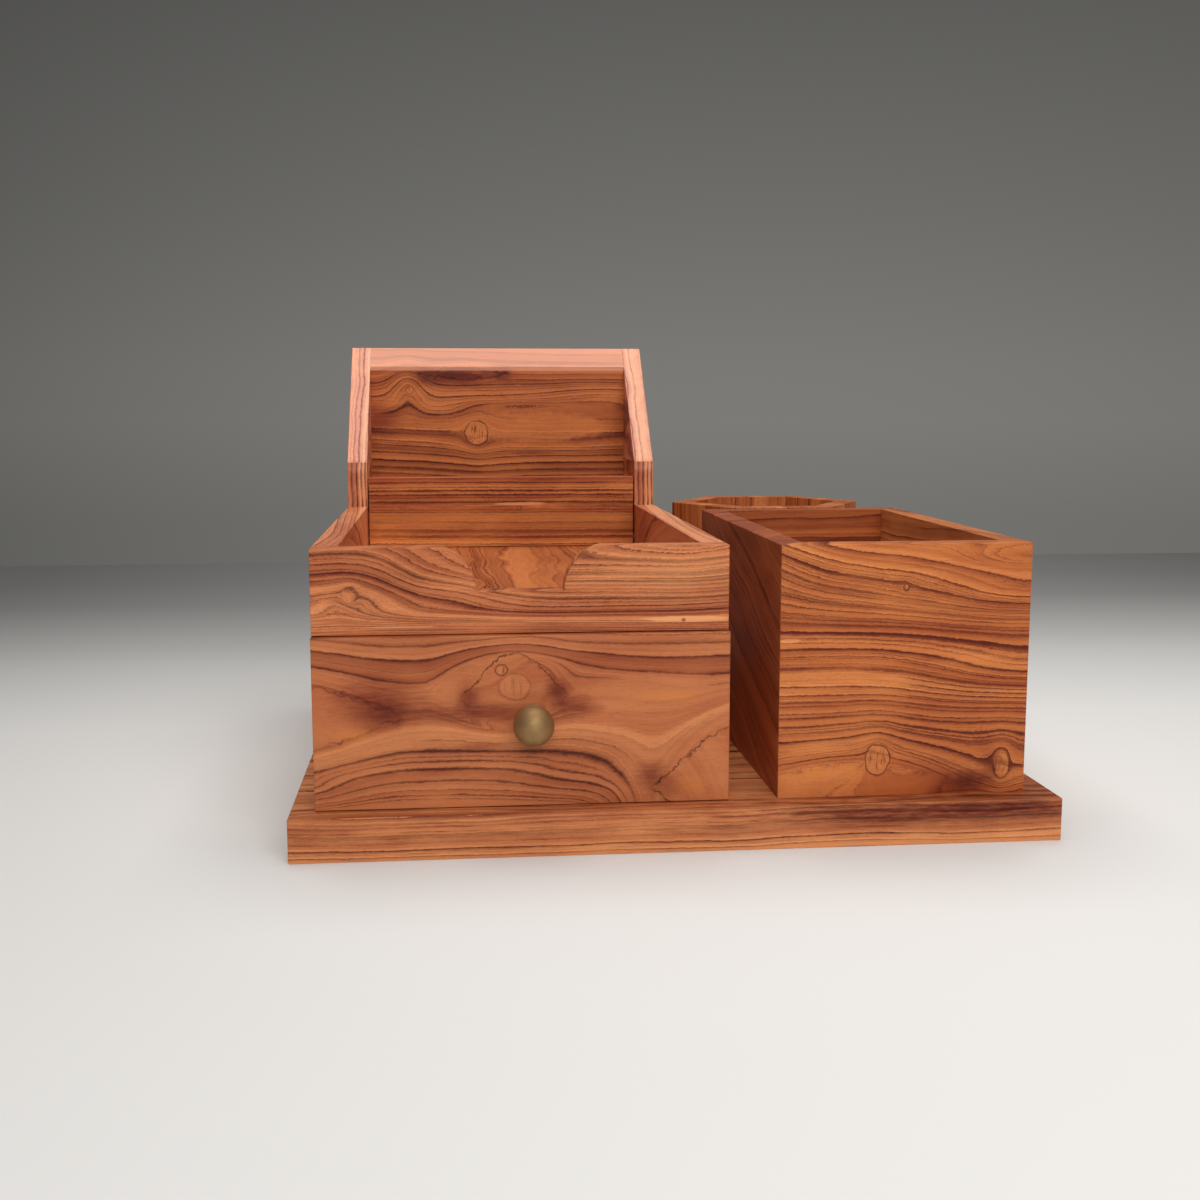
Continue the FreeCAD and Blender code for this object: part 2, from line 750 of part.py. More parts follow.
box_ring = make_box_ring()
save(mitred_wall(box_ring, (BOX_CORNERS[0], BOX_CORNERS[1])), "box_front")
save(mitred_wall(box_ring, (BOX_CORNERS[1], BOX_CORNERS[2])), "box_right_side")
save(mitred_wall(box_ring, (BOX_CORNERS[2], BOX_CORNERS[3])), "box_back")
save(mitred_wall(box_ring, (BOX_CORNERS[3], BOX_CORNERS[0])), "box_left_side")
save(box_bottom_block(), "box_bottom")
save(Part.makeCompound([make_spline(x, y) for x, y in BOX_CORNERS]), "box_splines")

cup_ring = make_cup_ring()
for index in range(6):
    save(cup_stave(cup_ring, index), "cup_stave_" + str(index + 1))
save(make_cup_bottom(), "cup_bottom")

tenon_sets = {
    "cabinet_tenons": side_foot_tenons + back_foot_tenons,
    "box_tenons": box_foot_tenons,
    "cup_tenons": cup_foot_tenons,
    "tray_front_tenons": tray_front_tenons,
    "back_panel_tenons": back_panel_tenons,
}
for name, tenons in tenon_sets.items():
    save(Part.makeCompound([loose_tenon(*tenon) for tenon in tenons]), name)
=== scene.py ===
import math

import bpy
from mathutils import Matrix, Vector


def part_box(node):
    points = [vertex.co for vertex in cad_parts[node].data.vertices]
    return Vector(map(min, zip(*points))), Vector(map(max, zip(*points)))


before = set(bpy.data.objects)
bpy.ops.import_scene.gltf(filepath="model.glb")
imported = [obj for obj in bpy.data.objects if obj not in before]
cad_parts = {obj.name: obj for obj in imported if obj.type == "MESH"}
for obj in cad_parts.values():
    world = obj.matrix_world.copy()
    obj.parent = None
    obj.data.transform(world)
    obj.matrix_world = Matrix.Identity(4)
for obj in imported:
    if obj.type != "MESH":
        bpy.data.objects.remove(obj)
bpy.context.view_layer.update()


# ---------------------------------------------------------------- studio
# A pale table top that runs back into a grey wall, a big soft light from the front and above,
# a second one overhead, and a camera a little above the rims, turned slightly to the right.

def paint(red, green, blue):
    """A screen colour, 0 to 255, as the linear values that shaders take."""
    def linear(value):
        value /= 255
        return value / 12.92 if value <= 0.04045 else ((value + 0.055) / 1.055) ** 2.4
    return (linear(red), linear(green), linear(blue), 1.0)


def calc(tree, operation, *values, clamp=False):
    """A Math node; each value is a number or a socket. Returns its result."""
    node = tree.nodes.new("ShaderNodeMath")
    node.operation = operation
    node.use_clamp = clamp
    for place, value in enumerate(values):
        if isinstance(value, (int, float)):
            node.inputs[place].default_value = value
        else:
            tree.links.new(value, node.inputs[place])
    return node.outputs[0]


def new_material(name):
    """An empty node material. Returns it and its tree."""
    material = bpy.data.materials.new(name)
    material.use_nodes = True
    material.node_tree.nodes.clear()
    return material, material.node_tree


def ramp(tree, factor, stops):
    """A colour ramp from (place, colour) stops."""
    node = tree.nodes.new("ShaderNodeValToRGB")
    points = node.color_ramp.elements
    while len(points) < len(stops):
        points.new(0.5)
    for point, (place, colour) in zip(points, stops):
        point.position = place
        point.color = colour
    tree.links.new(factor, node.inputs[0])
    return node.outputs[0]


def blend_colours(tree, factor, first, second, mode="MIX"):
    """A Mix node for colours; each value is a number, a colour or a socket."""
    node = tree.nodes.new("ShaderNodeMix")
    node.data_type = "RGBA"
    node.blend_type = mode
    for place, value in ((0, factor), (6, first), (7, second)):
        if isinstance(value, (int, float, tuple)):
            node.inputs[place].default_value = value
        else:
            tree.links.new(value, node.inputs[place])
    return node.outputs[2]


def paint_falloff_aside(tree, colour, across, centre, fall, least):
    """Darken a backdrop to both sides of a centre line, down to a least share: painted shade for light that
    falls off to the sides.
    """
    aside = calc(tree, "MULTIPLY", calc(tree, "POWER", calc(tree, "SUBTRACT", across, centre), 2.0), fall)
    dim = calc(tree, "MAXIMUM", calc(tree, "SUBTRACT", 1.0, aside), least)
    return blend_colours(tree, 1.0, colour, dim, "MULTIPLY")


scene = bpy.context.scene
scene.view_settings.view_transform = "Standard"

# The table top's colour fades from pale at its front, from FADE_START, to the grey of the wall at its back,
# and darkens to both sides: painted shade for the lamps' light falling off with distance.
FLOOR_WIDTH = 5.0
FLOOR_BACK = 0.87
FLOOR_FRONT = -1.6
FADE_START = -0.3
bpy.ops.object.select_all(action="DESELECT")
bpy.ops.mesh.primitive_plane_add(size=1, location=(0, 0, 0))
floor = bpy.context.object
floor.name = "table_top"
for corner in floor.data.vertices:
    corner.co.x *= FLOOR_WIDTH
    corner.co.y = FLOOR_BACK if corner.co.y > 0 else FLOOR_FRONT
floor_material, tree = new_material("table_top_paint")
where = tree.nodes.new("ShaderNodeTexCoord")
parts = tree.nodes.new("ShaderNodeSeparateXYZ")
tree.links.new(where.outputs["Object"], parts.inputs[0])
depth = calc(
    tree, "DIVIDE", calc(tree, "ADD", parts.outputs["Y"], -FADE_START), FLOOR_BACK - FADE_START, clamp=True)
FLOOR_FALLOFF_STOPS = [
    (0.0, 0.82), (0.17, 0.81), (0.24, 0.8), (0.33, 0.77), (0.43, 0.66), (0.485, 0.595), (0.55, 0.49),
    (0.635, 0.39), (0.73, 0.3), (0.855, 0.268), (1.0, 0.272),
]
FLOOR_GREEN, FLOOR_BLUE = 0.995, 0.98
grey = ramp(tree, depth, [
    (place, (level, level * FLOOR_GREEN, level * FLOOR_BLUE, 1)) for place, level in FLOOR_FALLOFF_STOPS])
shade = paint_falloff_aside(tree, grey, parts.outputs["X"], centre=0.25, fall=0.55, least=0.7)
surface = tree.nodes.new("ShaderNodeBsdfDiffuse")
tree.links.new(shade, surface.inputs["Color"])
out = tree.nodes.new("ShaderNodeOutputMaterial")
tree.links.new(surface.outputs[0], out.inputs["Surface"])
floor.data.materials.append(floor_material)

world = bpy.data.worlds.new("studio_wall")
scene.world = world
world.use_nodes = True
tree = world.node_tree
tree.nodes.clear()
where = tree.nodes.new("ShaderNodeTexCoord")
parts = tree.nodes.new("ShaderNodeSeparateXYZ")
tree.links.new(where.outputs["Generated"], parts.inputs[0])
# The wall's grey is brightest near the horizon and darkens upwards and to both sides: painted shade for the
# lamps' light falling off.
WALL_START = -0.12
WALL_RISE = 0.4
height = calc(tree, "DIVIDE", calc(tree, "ADD", parts.outputs["Z"], -WALL_START), WALL_RISE, clamp=True)
WALL_FALLOFF_STOPS = [(0.0, 0.17), (0.1, 0.172), (0.26, 0.2), (0.35, 0.195), (0.6, 0.155), (0.95, 0.107), (1.0, 0.1)]
WALL_GREEN, WALL_BLUE = 0.985, 0.93
wall = ramp(tree, height, [
    (place, (level, level * WALL_GREEN, level * WALL_BLUE, 1)) for place, level in WALL_FALLOFF_STOPS])
shade = paint_falloff_aside(tree, wall, parts.outputs["X"], centre=0.2, fall=1.3, least=0.6)

# The camera and shiny surfaces see the wall, and every other ray gets an even, slightly warm fill.
FILL_COLOUR = (1.0, 0.98, 0.95, 1)
FILL_STRENGTH = 0.2
seen = tree.nodes.new("ShaderNodeBackground")
tree.links.new(shade, seen.inputs["Color"])
fill = tree.nodes.new("ShaderNodeBackground")
fill.inputs["Color"].default_value = FILL_COLOUR
fill.inputs["Strength"].default_value = FILL_STRENGTH
rays = tree.nodes.new("ShaderNodeLightPath")
straight = calc(tree, "MAXIMUM", rays.outputs["Is Camera Ray"], rays.outputs["Is Glossy Ray"])
straight = calc(tree, "MAXIMUM", straight, rays.outputs["Is Transmission Ray"])
choice = tree.nodes.new("ShaderNodeMixShader")
tree.links.new(straight, choice.inputs[0])
tree.links.new(fill.outputs[0], choice.inputs[1])
tree.links.new(seen.outputs[0], choice.inputs[2])
out = tree.nodes.new("ShaderNodeOutputWorld")
tree.links.new(choice.outputs[0], out.inputs["Surface"])


LAMP_COLOUR = (1.0, 0.985, 0.965)


def soft_light(name, place, target, width, depth, watts):
    """A rectangular lamp at a place, turned to a target, in metres and watts."""
    lamp = bpy.data.lights.new(name, "AREA")
    lamp.shape = "RECTANGLE"
    lamp.size = width
    lamp.size_y = depth
    lamp.energy = watts
    lamp.color = LAMP_COLOUR
    holder = bpy.data.objects.new(name, lamp)
    scene.collection.objects.link(holder)
    holder.location = place
    holder.rotation_euler = (Vector(target) - Vector(place)).to_track_quat("-Z", "Y").to_euler()


soft_light("front_softbox", (0.12, -1.3, 0.8), (0.0, 0.0, 0.07), 1.2, 0.8, 12.0)
soft_light("top_softbox", (0.0, 0.16, 1.2), (0.0, 0.02, 0.0), 1.0, 1.0, 10.5)

# The focal length is in pixels of a frame 1200 wide. It was solved together with the place, the
# tilt and the turn, in radians, so these numbers are kept as the fit gave them.
SENSOR_WIDTH = 36.0
FRAME_WIDTH = 1200.0
FOCAL_LENGTH = 1456.56
CAMERA_PLACE = (-0.087104, -0.684906, 0.172902)
TILT_DOWN = 0.13806
TURN_RIGHT = 0.10131
camera_data = bpy.data.cameras.new("camera")
camera_data.sensor_width = SENSOR_WIDTH
camera_data.lens = FOCAL_LENGTH * SENSOR_WIDTH / FRAME_WIDTH
camera = bpy.data.objects.new("camera", camera_data)
scene.collection.objects.link(camera)
camera.location = CAMERA_PLACE
camera.rotation_euler = (math.pi / 2 - TILT_DOWN, 0.0, -TURN_RIGHT)
scene.camera = camera


# ---------------------------------------------------------------- base board
# One thick planed board of rosewood-like timber, its long grain running from left to right.
# Its edges are only just eased, and it is oiled all over, so it has a low satin sheen.

def new_group(name, inputs, outputs):
    """A shader node group with named sockets: each is (name, kind, starting value)."""
    group = bpy.data.node_groups.new(name, "ShaderNodeTree")
    kinds = {"number": "NodeSocketFloat", "vector": "NodeSocketVector", "colour": "NodeSocketColor"}
    for label, kind, value in inputs:
        socket = group.interface.new_socket(name=label, in_out="INPUT", socket_type=kinds[kind])
        socket.default_value = value
    for label, kind in outputs:
        group.interface.new_socket(name=label, in_out="OUTPUT", socket_type=kinds[kind])
    return group, group.nodes.new("NodeGroupInput").outputs, group.nodes.new("NodeGroupOutput").inputs


def vector_calc(tree, operation, *values):
    """A Vector Math node; each value is a triple or a socket."""
    node = tree.nodes.new("ShaderNodeVectorMath")
    node.operation = operation
    for place, value in enumerate(values):
        if isinstance(value, tuple):
            node.inputs[place].default_value = value
        else:
            tree.links.new(value, node.inputs[place])
    return node.outputs["Value"] if operation in ("LENGTH", "DOT_PRODUCT") else node.outputs["Vector"]


def noise(tree, vector, stretch, detail=2.0, roughness=0.5):
    """Noise from about -0.5 to 0.5 over a vector that is first multiplied by stretch."""
    node = tree.nodes.new("ShaderNodeTexNoise")
    tree.links.new(vector_calc(tree, "MULTIPLY", vector, stretch), node.inputs["Vector"])
    node.inputs["Scale"].default_value = 1.0
    node.inputs["Detail"].default_value = detail
    node.inputs["Roughness"].default_value = roughness
    return calc(tree, "SUBTRACT", node.outputs[0], 0.5)


def line_noise(tree, place, scale, detail=2.0, roughness=0.5):
    """Noise from about -0.5 to 0.5 along a single number."""
    node = tree.nodes.new("ShaderNodeTexNoise")
    node.noise_dimensions = "1D"
    tree.links.new(place, node.inputs["W"])
    node.inputs["Scale"].default_value = scale
    node.inputs["Detail"].default_value = detail
    node.inputs["Roughness"].default_value = roughness
    return calc(tree, "SUBTRACT", node.outputs[0], 0.5)


# Growth is the distance across the grain in centimetres. A swell lifts it round one place,
# which bends the growth lines into arches, and a knot parts them as a stone parts a stream.
swell_group, given, result = new_group(
    "grain_swell",
    [("Vector", "vector", (0, 0, 0)), ("Growth", "number", 0.0), ("Centre", "vector", (0, 0, 0)),
     ("Reach", "vector", (1, 1, 1)), ("Lift", "number", 1.0)],
    [("Growth", "number")],
)
away = vector_calc(
    swell_group, "DIVIDE", vector_calc(swell_group, "SUBTRACT", given["Vector"], given["Centre"]),
    given["Reach"])
fall = calc(
    swell_group, "EXPONENT",
    calc(swell_group, "MULTIPLY", vector_calc(swell_group, "DOT_PRODUCT", away, away), -1.0))
swell_group.links.new(
    calc(swell_group, "ADD", given["Growth"], calc(swell_group, "MULTIPLY", fall, given["Lift"])),
    result["Growth"])

# How wide the dark rim of a knot is, in centimetres.
KNOT_RIM = 0.035
knot_group, given, result = new_group(
    "grain_knot",
    [
        ("Vector", "vector", (0, 0, 0)), ("Growth", "number", 0.0), ("Inside", "number", 0.0),
        ("Rim", "number", 0.0), ("Strokes", "number", 0.0), ("Centre", "vector", (0, 0, 0)),
        ("Radius", "number", 0.5), ("Squash", "number", 1.0), ("Ink", "number", 1.0)],
    [("Growth", "number"), ("Inside", "number"), ("Rim", "number"), ("Strokes", "number")])
tree = knot_group
away = vector_calc(tree, "SUBTRACT", given["Vector"], given["Centre"])
parts = tree.nodes.new("ShaderNodeSeparateXYZ")
tree.links.new(away, parts.inputs[0])
squared = calc(
    tree, "ADD", calc(tree, "POWER", calc(tree, "MULTIPLY", parts.outputs["X"], given["Squash"]), 2.0),
    calc(tree, "POWER", parts.outputs["Y"], 2.0))
share = calc(tree, "DIVIDE", calc(tree, "SQRT", squared), given["Radius"])
parted = calc(tree, "DIVIDE", parts.outputs["Y"], calc(tree, "POWER", calc(tree, "MAXIMUM", share, 1.0), 2.0))
tree.links.new(calc(tree, "SUBTRACT", given["Growth"], parted), result["Growth"])
uneven = calc(
    tree, "ADD", calc(tree, "MULTIPLY", noise(tree, given["Vector"], (2.2, 2.2, 0.4), 4.0, 0.65), 0.55), 1.0)
share = calc(tree, "MULTIPLY", share, uneven)
inside = calc(tree, "MULTIPLY", calc(tree, "SUBTRACT", 1.0, share), 12.0, clamp=True)
tree.links.new(calc(tree, "MAXIMUM", given["Inside"], inside), result["Inside"])
edge = calc(
    tree, "DIVIDE", calc(tree, "MULTIPLY", calc(tree, "SUBTRACT", share, 1.0), given["Radius"]), KNOT_RIM)
rim = calc(
    tree, "EXPONENT", calc(tree, "MULTIPLY", calc(tree, "POWER", calc(tree, "ABSOLUTE", edge), 2.0), -1.0))
broken = calc(
    tree, "ADD", calc(tree, "MULTIPLY", noise(tree, given["Vector"], (1.6, 1.6, 0.4), 2.0), 2.6), 0.85,
    clamp=True)
rim = calc(tree, "MULTIPLY", calc(tree, "MULTIPLY", rim, broken), given["Ink"])
tree.links.new(calc(tree, "MAXIMUM", given["Rim"], rim), result["Rim"])
core = calc(tree, "MULTIPLY", calc(tree, "SUBTRACT", 0.85, share), 3.0, clamp=True)
stroke = calc(tree, "MULTIPLY", noise(tree, given["Vector"], (11.0, 2.2, 0.5), 2.0), 9.0, clamp=True)
stroke = calc(tree, "MULTIPLY", calc(tree, "MULTIPLY", stroke, core), given["Ink"])
tree.links.new(calc(tree, "MAXIMUM", given["Strokes"], stroke), result["Strokes"])

# An eye is a long pointed island that the growth lines run round, with a ragged dark rim
# and a dark smear at each point.
EYE_RIM = 0.045
eye_group, given, result = new_group(
    "grain_eye",
    [
        ("Vector", "vector", (0, 0, 0)), ("Growth", "number", 0.0), ("Rim", "number", 0.0),
        ("Smear", "number", 0.0), ("Plain", "number", 0.0), ("Centre", "vector", (0, 0, 0)),
        ("Length", "number", 2.0), ("Width", "number", 1.0), ("Spread", "number", 1.0),
        ("Push", "number", 1.0), ("Ink", "number", 1.0), ("Shade", "number", 1.0), ("Foot", "number", -9.0)],
    [("Growth", "number"), ("Rim", "number"), ("Smear", "number"), ("Plain", "number")])
tree = eye_group
away = vector_calc(tree, "SUBTRACT", given["Vector"], given["Centre"])
parts = tree.nodes.new("ShaderNodeSeparateXYZ")
tree.links.new(away, parts.inputs[0])
along = calc(tree, "DIVIDE", parts.outputs["X"], given["Length"])
rest = calc(tree, "MAXIMUM", calc(tree, "SUBTRACT", 1.0, calc(tree, "MULTIPLY", along, along)), 0.0)
half = calc(tree, "MULTIPLY", calc(tree, "POWER", rest, 1.5), given["Width"])
off = calc(tree, "ABSOLUTE", parts.outputs["Y"])
past = calc(tree, "MAXIMUM", calc(tree, "SUBTRACT", off, half), 0.0)
push = calc(
    tree, "MULTIPLY", calc(tree, "MINIMUM", half, off),
    calc(tree, "EXPONENT", calc(tree, "DIVIDE", calc(tree, "MULTIPLY", past, -1.0), given["Spread"])))
push = calc(
    tree, "MULTIPLY", calc(tree, "MULTIPLY", push, given["Push"]), calc(tree, "SIGN", parts.outputs["Y"]))
tree.links.new(calc(tree, "SUBTRACT", given["Growth"], push), result["Growth"])
ragged = calc(tree, "MULTIPLY", noise(tree, given["Vector"], (2.6, 2.2, 0.4), 4.0, 0.65), 0.75)
edge = calc(tree, "DIVIDE", calc(tree, "ADD", calc(tree, "SUBTRACT", off, half), ragged), EYE_RIM)
rim = calc(
    tree, "EXPONENT", calc(tree, "MULTIPLY", calc(tree, "POWER", calc(tree, "ABSOLUTE", edge), 2.0), -1.0))
rim = calc(
    tree, "MULTIPLY", rim,
    calc(tree, "MULTIPLY", calc(tree, "MULTIPLY", rest, 6.0, clamp=True), given["Ink"]))
broken = calc(
    tree, "ADD", calc(tree, "MULTIPLY", noise(tree, given["Vector"], (1.0, 1.0, 0.4), 2.0), 2.6), 0.75,
    clamp=True)
above = calc(tree, "MULTIPLY", calc(tree, "SUBTRACT", parts.outputs["Y"], given["Foot"]), 3.0, clamp=True)
rim = calc(tree, "MULTIPLY", calc(tree, "MULTIPLY", rim, broken), above)
tree.links.new(calc(tree, "MAXIMUM", given["Rim"], rim), result["Rim"])
inner = calc(tree, "DIVIDE", calc(tree, "SUBTRACT", half, calc(tree, "ADD", off, ragged)), 0.3, clamp=True)
tree.links.new(calc(tree, "MAXIMUM", given["Plain"], inner), result["Plain"])
point = calc(tree, "DIVIDE", calc(tree, "SUBTRACT", calc(tree, "ABSOLUTE", along), 0.82), 0.24)
squared = calc(
    tree, "ADD", calc(tree, "MULTIPLY", point, point),
    calc(tree, "POWER", calc(tree, "DIVIDE", calc(tree, "ADD", off, ragged), 0.55), 2.0))
smear = calc(tree, "MULTIPLY", calc(tree, "EXPONENT", calc(tree, "MULTIPLY", squared, -1.0)), given["Shade"])
tree.links.new(calc(tree, "MAXIMUM", given["Smear"], smear), result["Smear"])

# Waver shakes the growth lines out of true, and a mark is one strong dark line at a given
# growth, between two places along the board. It is crisp above and fades below, or the other
# way round where its fade is negative.
waver_group, given, result = new_group(
    "grain_waver",
    [
        ("Vector", "vector", (0, 0, 0)), ("Growth", "number", 0.0), ("Wander", "number", 0.6),
        ("Ripple", "number", 0.1), ("Rough", "number", 1.0)],
    [("Growth", "number")])
tree = waver_group
spot = given["Vector"]
broad = calc(tree, "MULTIPLY", noise(tree, spot, (0.11, 0.3, 0.3), 1.5), given["Wander"])
small = calc(tree, "MULTIPLY", noise(tree, spot, (0.55, 1.5, 1.5), 2.0), given["Ripple"])
jagged = calc(tree, "MULTIPLY", noise(tree, spot, (2.4, 6.0, 6.0), 3.0, 0.65), 0.1)
ragged = calc(tree, "MULTIPLY", noise(tree, spot, (8.0, 18.0, 18.0), 2.0, 0.6), 0.085)
shaken = calc(tree, "ADD", small, calc(tree, "MULTIPLY", calc(tree, "ADD", jagged, ragged), given["Rough"]))
tree.links.new(calc(tree, "ADD", calc(tree, "ADD", given["Growth"], broad), shaken), result["Growth"])

mark_group, given, result = new_group(
    "grain_mark",
    [
        ("Vector", "vector", (0, 0, 0)), ("Growth", "number", 0.0), ("Lines", "number", 0.0),
        ("Bands", "number", 0.0), ("Level", "number", 0.0), ("Width", "number", 0.05),
        ("Fade", "number", 0.3), ("Ink", "number", 0.8), ("Start", "number", -20.0), ("End", "number", 20.0)],
    [("Lines", "number"), ("Bands", "number")])
tree = mark_group
parts = tree.nodes.new("ShaderNodeSeparateXYZ")
tree.links.new(given["Vector"], parts.inputs[0])
late = calc(tree, "ADD", calc(tree, "SUBTRACT", parts.outputs["X"], given["Start"]), 0.5, clamp=True)
soon = calc(tree, "ADD", calc(tree, "SUBTRACT", given["End"], parts.outputs["X"]), 0.5, clamp=True)
uneven = calc(
    tree, "ADD", calc(tree, "MULTIPLY", noise(tree, given["Vector"], (0.45, 1.0, 1.0), 2.0), 1.6), 0.9,
    clamp=True)
ink = calc(tree, "MULTIPLY", calc(tree, "MULTIPLY", calc(tree, "MULTIPLY", late, soon), uneven), given["Ink"])
off = calc(tree, "SUBTRACT", given["Growth"], given["Level"])
near = calc(tree, "DIVIDE", off, calc(tree, "MULTIPLY", given["Width"], uneven))
core = calc(tree, "EXPONENT", calc(tree, "MULTIPLY", calc(tree, "MULTIPLY", near, near), -1.0))
tree.links.new(calc(tree, "MAXIMUM", given["Lines"], calc(tree, "MULTIPLY", core, ink)), result["Lines"])
below = calc(tree, "DIVIDE", off, given["Fade"])
cut = calc(
    tree, "ADD",
    calc(
        tree, "MULTIPLY", calc(tree, "DIVIDE", off, calc(tree, "ABSOLUTE", given["Fade"])),
        calc(tree, "MULTIPLY", calc(tree, "SIGN", given["Fade"]), -12.0)),
    1.0, clamp=True)
tail = calc(
    tree, "MULTIPLY", calc(tree, "EXPONENT", calc(tree, "MULTIPLY", calc(tree, "ABSOLUTE", below), -1.0)),
    cut)
tree.links.new(calc(tree, "MAXIMUM", given["Bands"], calc(tree, "MULTIPLY", tail, ink)), result["Bands"])

# A fleck is a patch of another colour with frayed ends: pale wood, a dark mineral streak, and on a few faces
# painted shade.
fleck_group, given, result = new_group(
    "fleck_and_painted_shade",
    [
        ("Vector", "vector", (0, 0, 0)), ("Centre", "vector", (0, 0, 0)), ("Reach", "vector", (1, 1, 1)),
        ("Edge", "number", 3.5), ("Strength", "number", 1.0)],
    [("Mask", "number")])
tree = fleck_group
away = vector_calc(
    tree, "DIVIDE", vector_calc(tree, "SUBTRACT", given["Vector"], given["Centre"]), given["Reach"])
far = calc(
    tree, "ADD", vector_calc(tree, "LENGTH", away),
    calc(tree, "MULTIPLY", noise(tree, given["Vector"], (1.2, 9.0, 9.0), 3.0, 0.6), 0.9))
tree.links.new(
    calc(
        tree, "MULTIPLY", calc(tree, "MULTIPLY", calc(tree, "SUBTRACT", 1.0, far), given["Edge"], clamp=True),
        given["Strength"]),
    result["Mask"])


def pick_by_band(tree, turn):
    """A chance value from 0 to 1 that stays the same within each whole turn."""
    node = tree.nodes.new("ShaderNodeTexWhiteNoise")
    node.noise_dimensions = "1D"
    tree.links.new(calc(tree, "FLOOR", turn), node.inputs["W"])
    return node.outputs[0]


# The timber itself: irregular growth bands that darken slowly and end in a sharp dark line,
# finer bands and hair lines between them, long fibres and short open pores.
grain_group, given, result = new_group(
    "figured_grain",
    [
        ("Vector", "vector", (0, 0, 0)), ("Growth", "number", 0.0), ("Lines", "number", 0.0),
        ("Bands", "number", 0.0), ("Inside", "number", 0.0), ("Rim", "number", 0.0),
        ("Strokes", "number", 0.0), ("Smear", "number", 0.0), ("Plain", "number", 0.0),
        ("Rings", "number", 1.6), ("Depth", "number", 1.0), ("Fine", "number", 0.5),
        ("Light", "colour", paint(226, 138, 76)), ("Middle", "colour", paint(172, 84, 42)),
        ("Red", "colour", paint(128, 50, 25)), ("Dark", "colour", paint(70, 18, 8))],
    [("Color", "colour"), ("Roughness", "number"), ("Height", "number")])
tree = grain_group
spot = given["Vector"]
growth = given["Growth"]
spread = calc(tree, "MULTIPLY", line_noise(tree, growth, 1.1, 2.0, 0.6), 4.0)
turn = calc(tree, "ADD", calc(tree, "MULTIPLY", growth, given["Rings"]), spread)
saw = calc(tree, "FRACT", turn)
chance = pick_by_band(tree, turn)
patch = calc(
    tree, "ADD", calc(tree, "MULTIPLY", noise(tree, spot, (0.2, 0.8, 0.8), 2.0), 2.4), 0.8, clamp=True)
busy = calc(tree, "SUBTRACT", 1.0, calc(tree, "MULTIPLY", given["Plain"], 0.85))
strength = calc(
    tree, "MULTIPLY", calc(tree, "ADD", calc(tree, "MULTIPLY", chance, 0.95), 0.15),
    calc(tree, "MULTIPLY", patch, busy))
shade = calc(tree, "MULTIPLY", calc(tree, "POWER", saw, 2.0), strength)
edge = calc(tree, "MULTIPLY", calc(tree, "POWER", saw, 9.0), calc(tree, "POWER", strength, 0.8))
fine_turn = calc(tree, "ADD", calc(tree, "MULTIPLY", calc(tree, "MULTIPLY", growth, given["Rings"]), 2.9),
                 calc(tree, "MULTIPLY", line_noise(tree, growth, 3.0, 2.0, 0.6), 5.0))
fine_chance = pick_by_band(tree, fine_turn)
fine = calc(
    tree, "MULTIPLY", calc(tree, "POWER", calc(tree, "FRACT", fine_turn), 2.0),
    calc(tree, "POWER", fine_chance, 1.5))
fine = calc(
    tree, "MULTIPLY", calc(tree, "MULTIPLY", fine, given["Fine"]),
    calc(
        tree, "ADD", calc(tree, "MULTIPLY", noise(tree, spot, (0.35, 1.2, 1.2), 2.0), 3.0), 0.65, clamp=True))
hair_turn = calc(tree, "ADD", calc(tree, "MULTIPLY", calc(tree, "MULTIPLY", growth, given["Rings"]), 6.3),
                 calc(tree, "MULTIPLY", line_noise(tree, growth, 6.0, 2.0, 0.6), 7.0))
hair_chance = pick_by_band(tree, hair_turn)
hair = calc(
    tree, "MULTIPLY", calc(tree, "POWER", calc(tree, "FRACT", hair_turn), 2.5),
    calc(tree, "POWER", hair_chance, 2.0))
hair = calc(
    tree, "MULTIPLY", hair,
    calc(tree, "ADD", calc(tree, "MULTIPLY", noise(tree, spot, (0.6, 2.5, 2.5), 3.0), 4.0), 0.6, clamp=True))
hair = calc(tree, "MULTIPLY", calc(tree, "MULTIPLY", hair, given["Fine"]), busy)
fine = calc(tree, "ADD", fine, hair)
tone = calc(tree, "ADD", calc(tree, "MULTIPLY", line_noise(tree, growth, 0.9, 3.0, 0.6), 3.2), 0.4)
tone = calc(
    tree, "ADD", tone, calc(tree, "MULTIPLY", noise(tree, spot, (0.12, 0.4, 0.4), 2.0), 1.4), clamp=True)
colour = blend_colours(tree, tone, given["Light"], given["Middle"])
fibre = noise(tree, spot, (2.2, 40.0, 40.0), 3.0, 0.65)
silk = noise(tree, spot, (0.5, 14.0, 14.0), 2.0, 0.6)
dusk = calc(
    tree, "ADD", calc(tree, "ADD", shade, fine), calc(tree, "MULTIPLY", calc(tree, "ADD", fibre, silk), 0.42))
dusk = calc(tree, "MULTIPLY", dusk, given["Depth"], clamp=True)
colour = blend_colours(tree, calc(tree, "MULTIPLY", dusk, 1.15, clamp=True), colour, given["Red"])
colour = blend_colours(
    tree, calc(tree, "MULTIPLY", calc(tree, "MULTIPLY", given["Bands"], busy), 0.75), colour, given["Red"])
line = calc(tree, "MULTIPLY", calc(tree, "MULTIPLY", edge, given["Depth"]), 0.85, clamp=True)
colour = blend_colours(tree, line, colour, given["Dark"])
colour = blend_colours(tree, calc(tree, "MULTIPLY", given["Inside"], 0.4), colour, given["Light"])
smear = calc(tree, "MULTIPLY", given["Smear"], 0.8)
colour = blend_colours(tree, smear, colour, given["Red"])
colour = blend_colours(
    tree, calc(tree, "MULTIPLY", calc(tree, "POWER", given["Smear"], 3.0), 0.2), colour, given["Dark"])
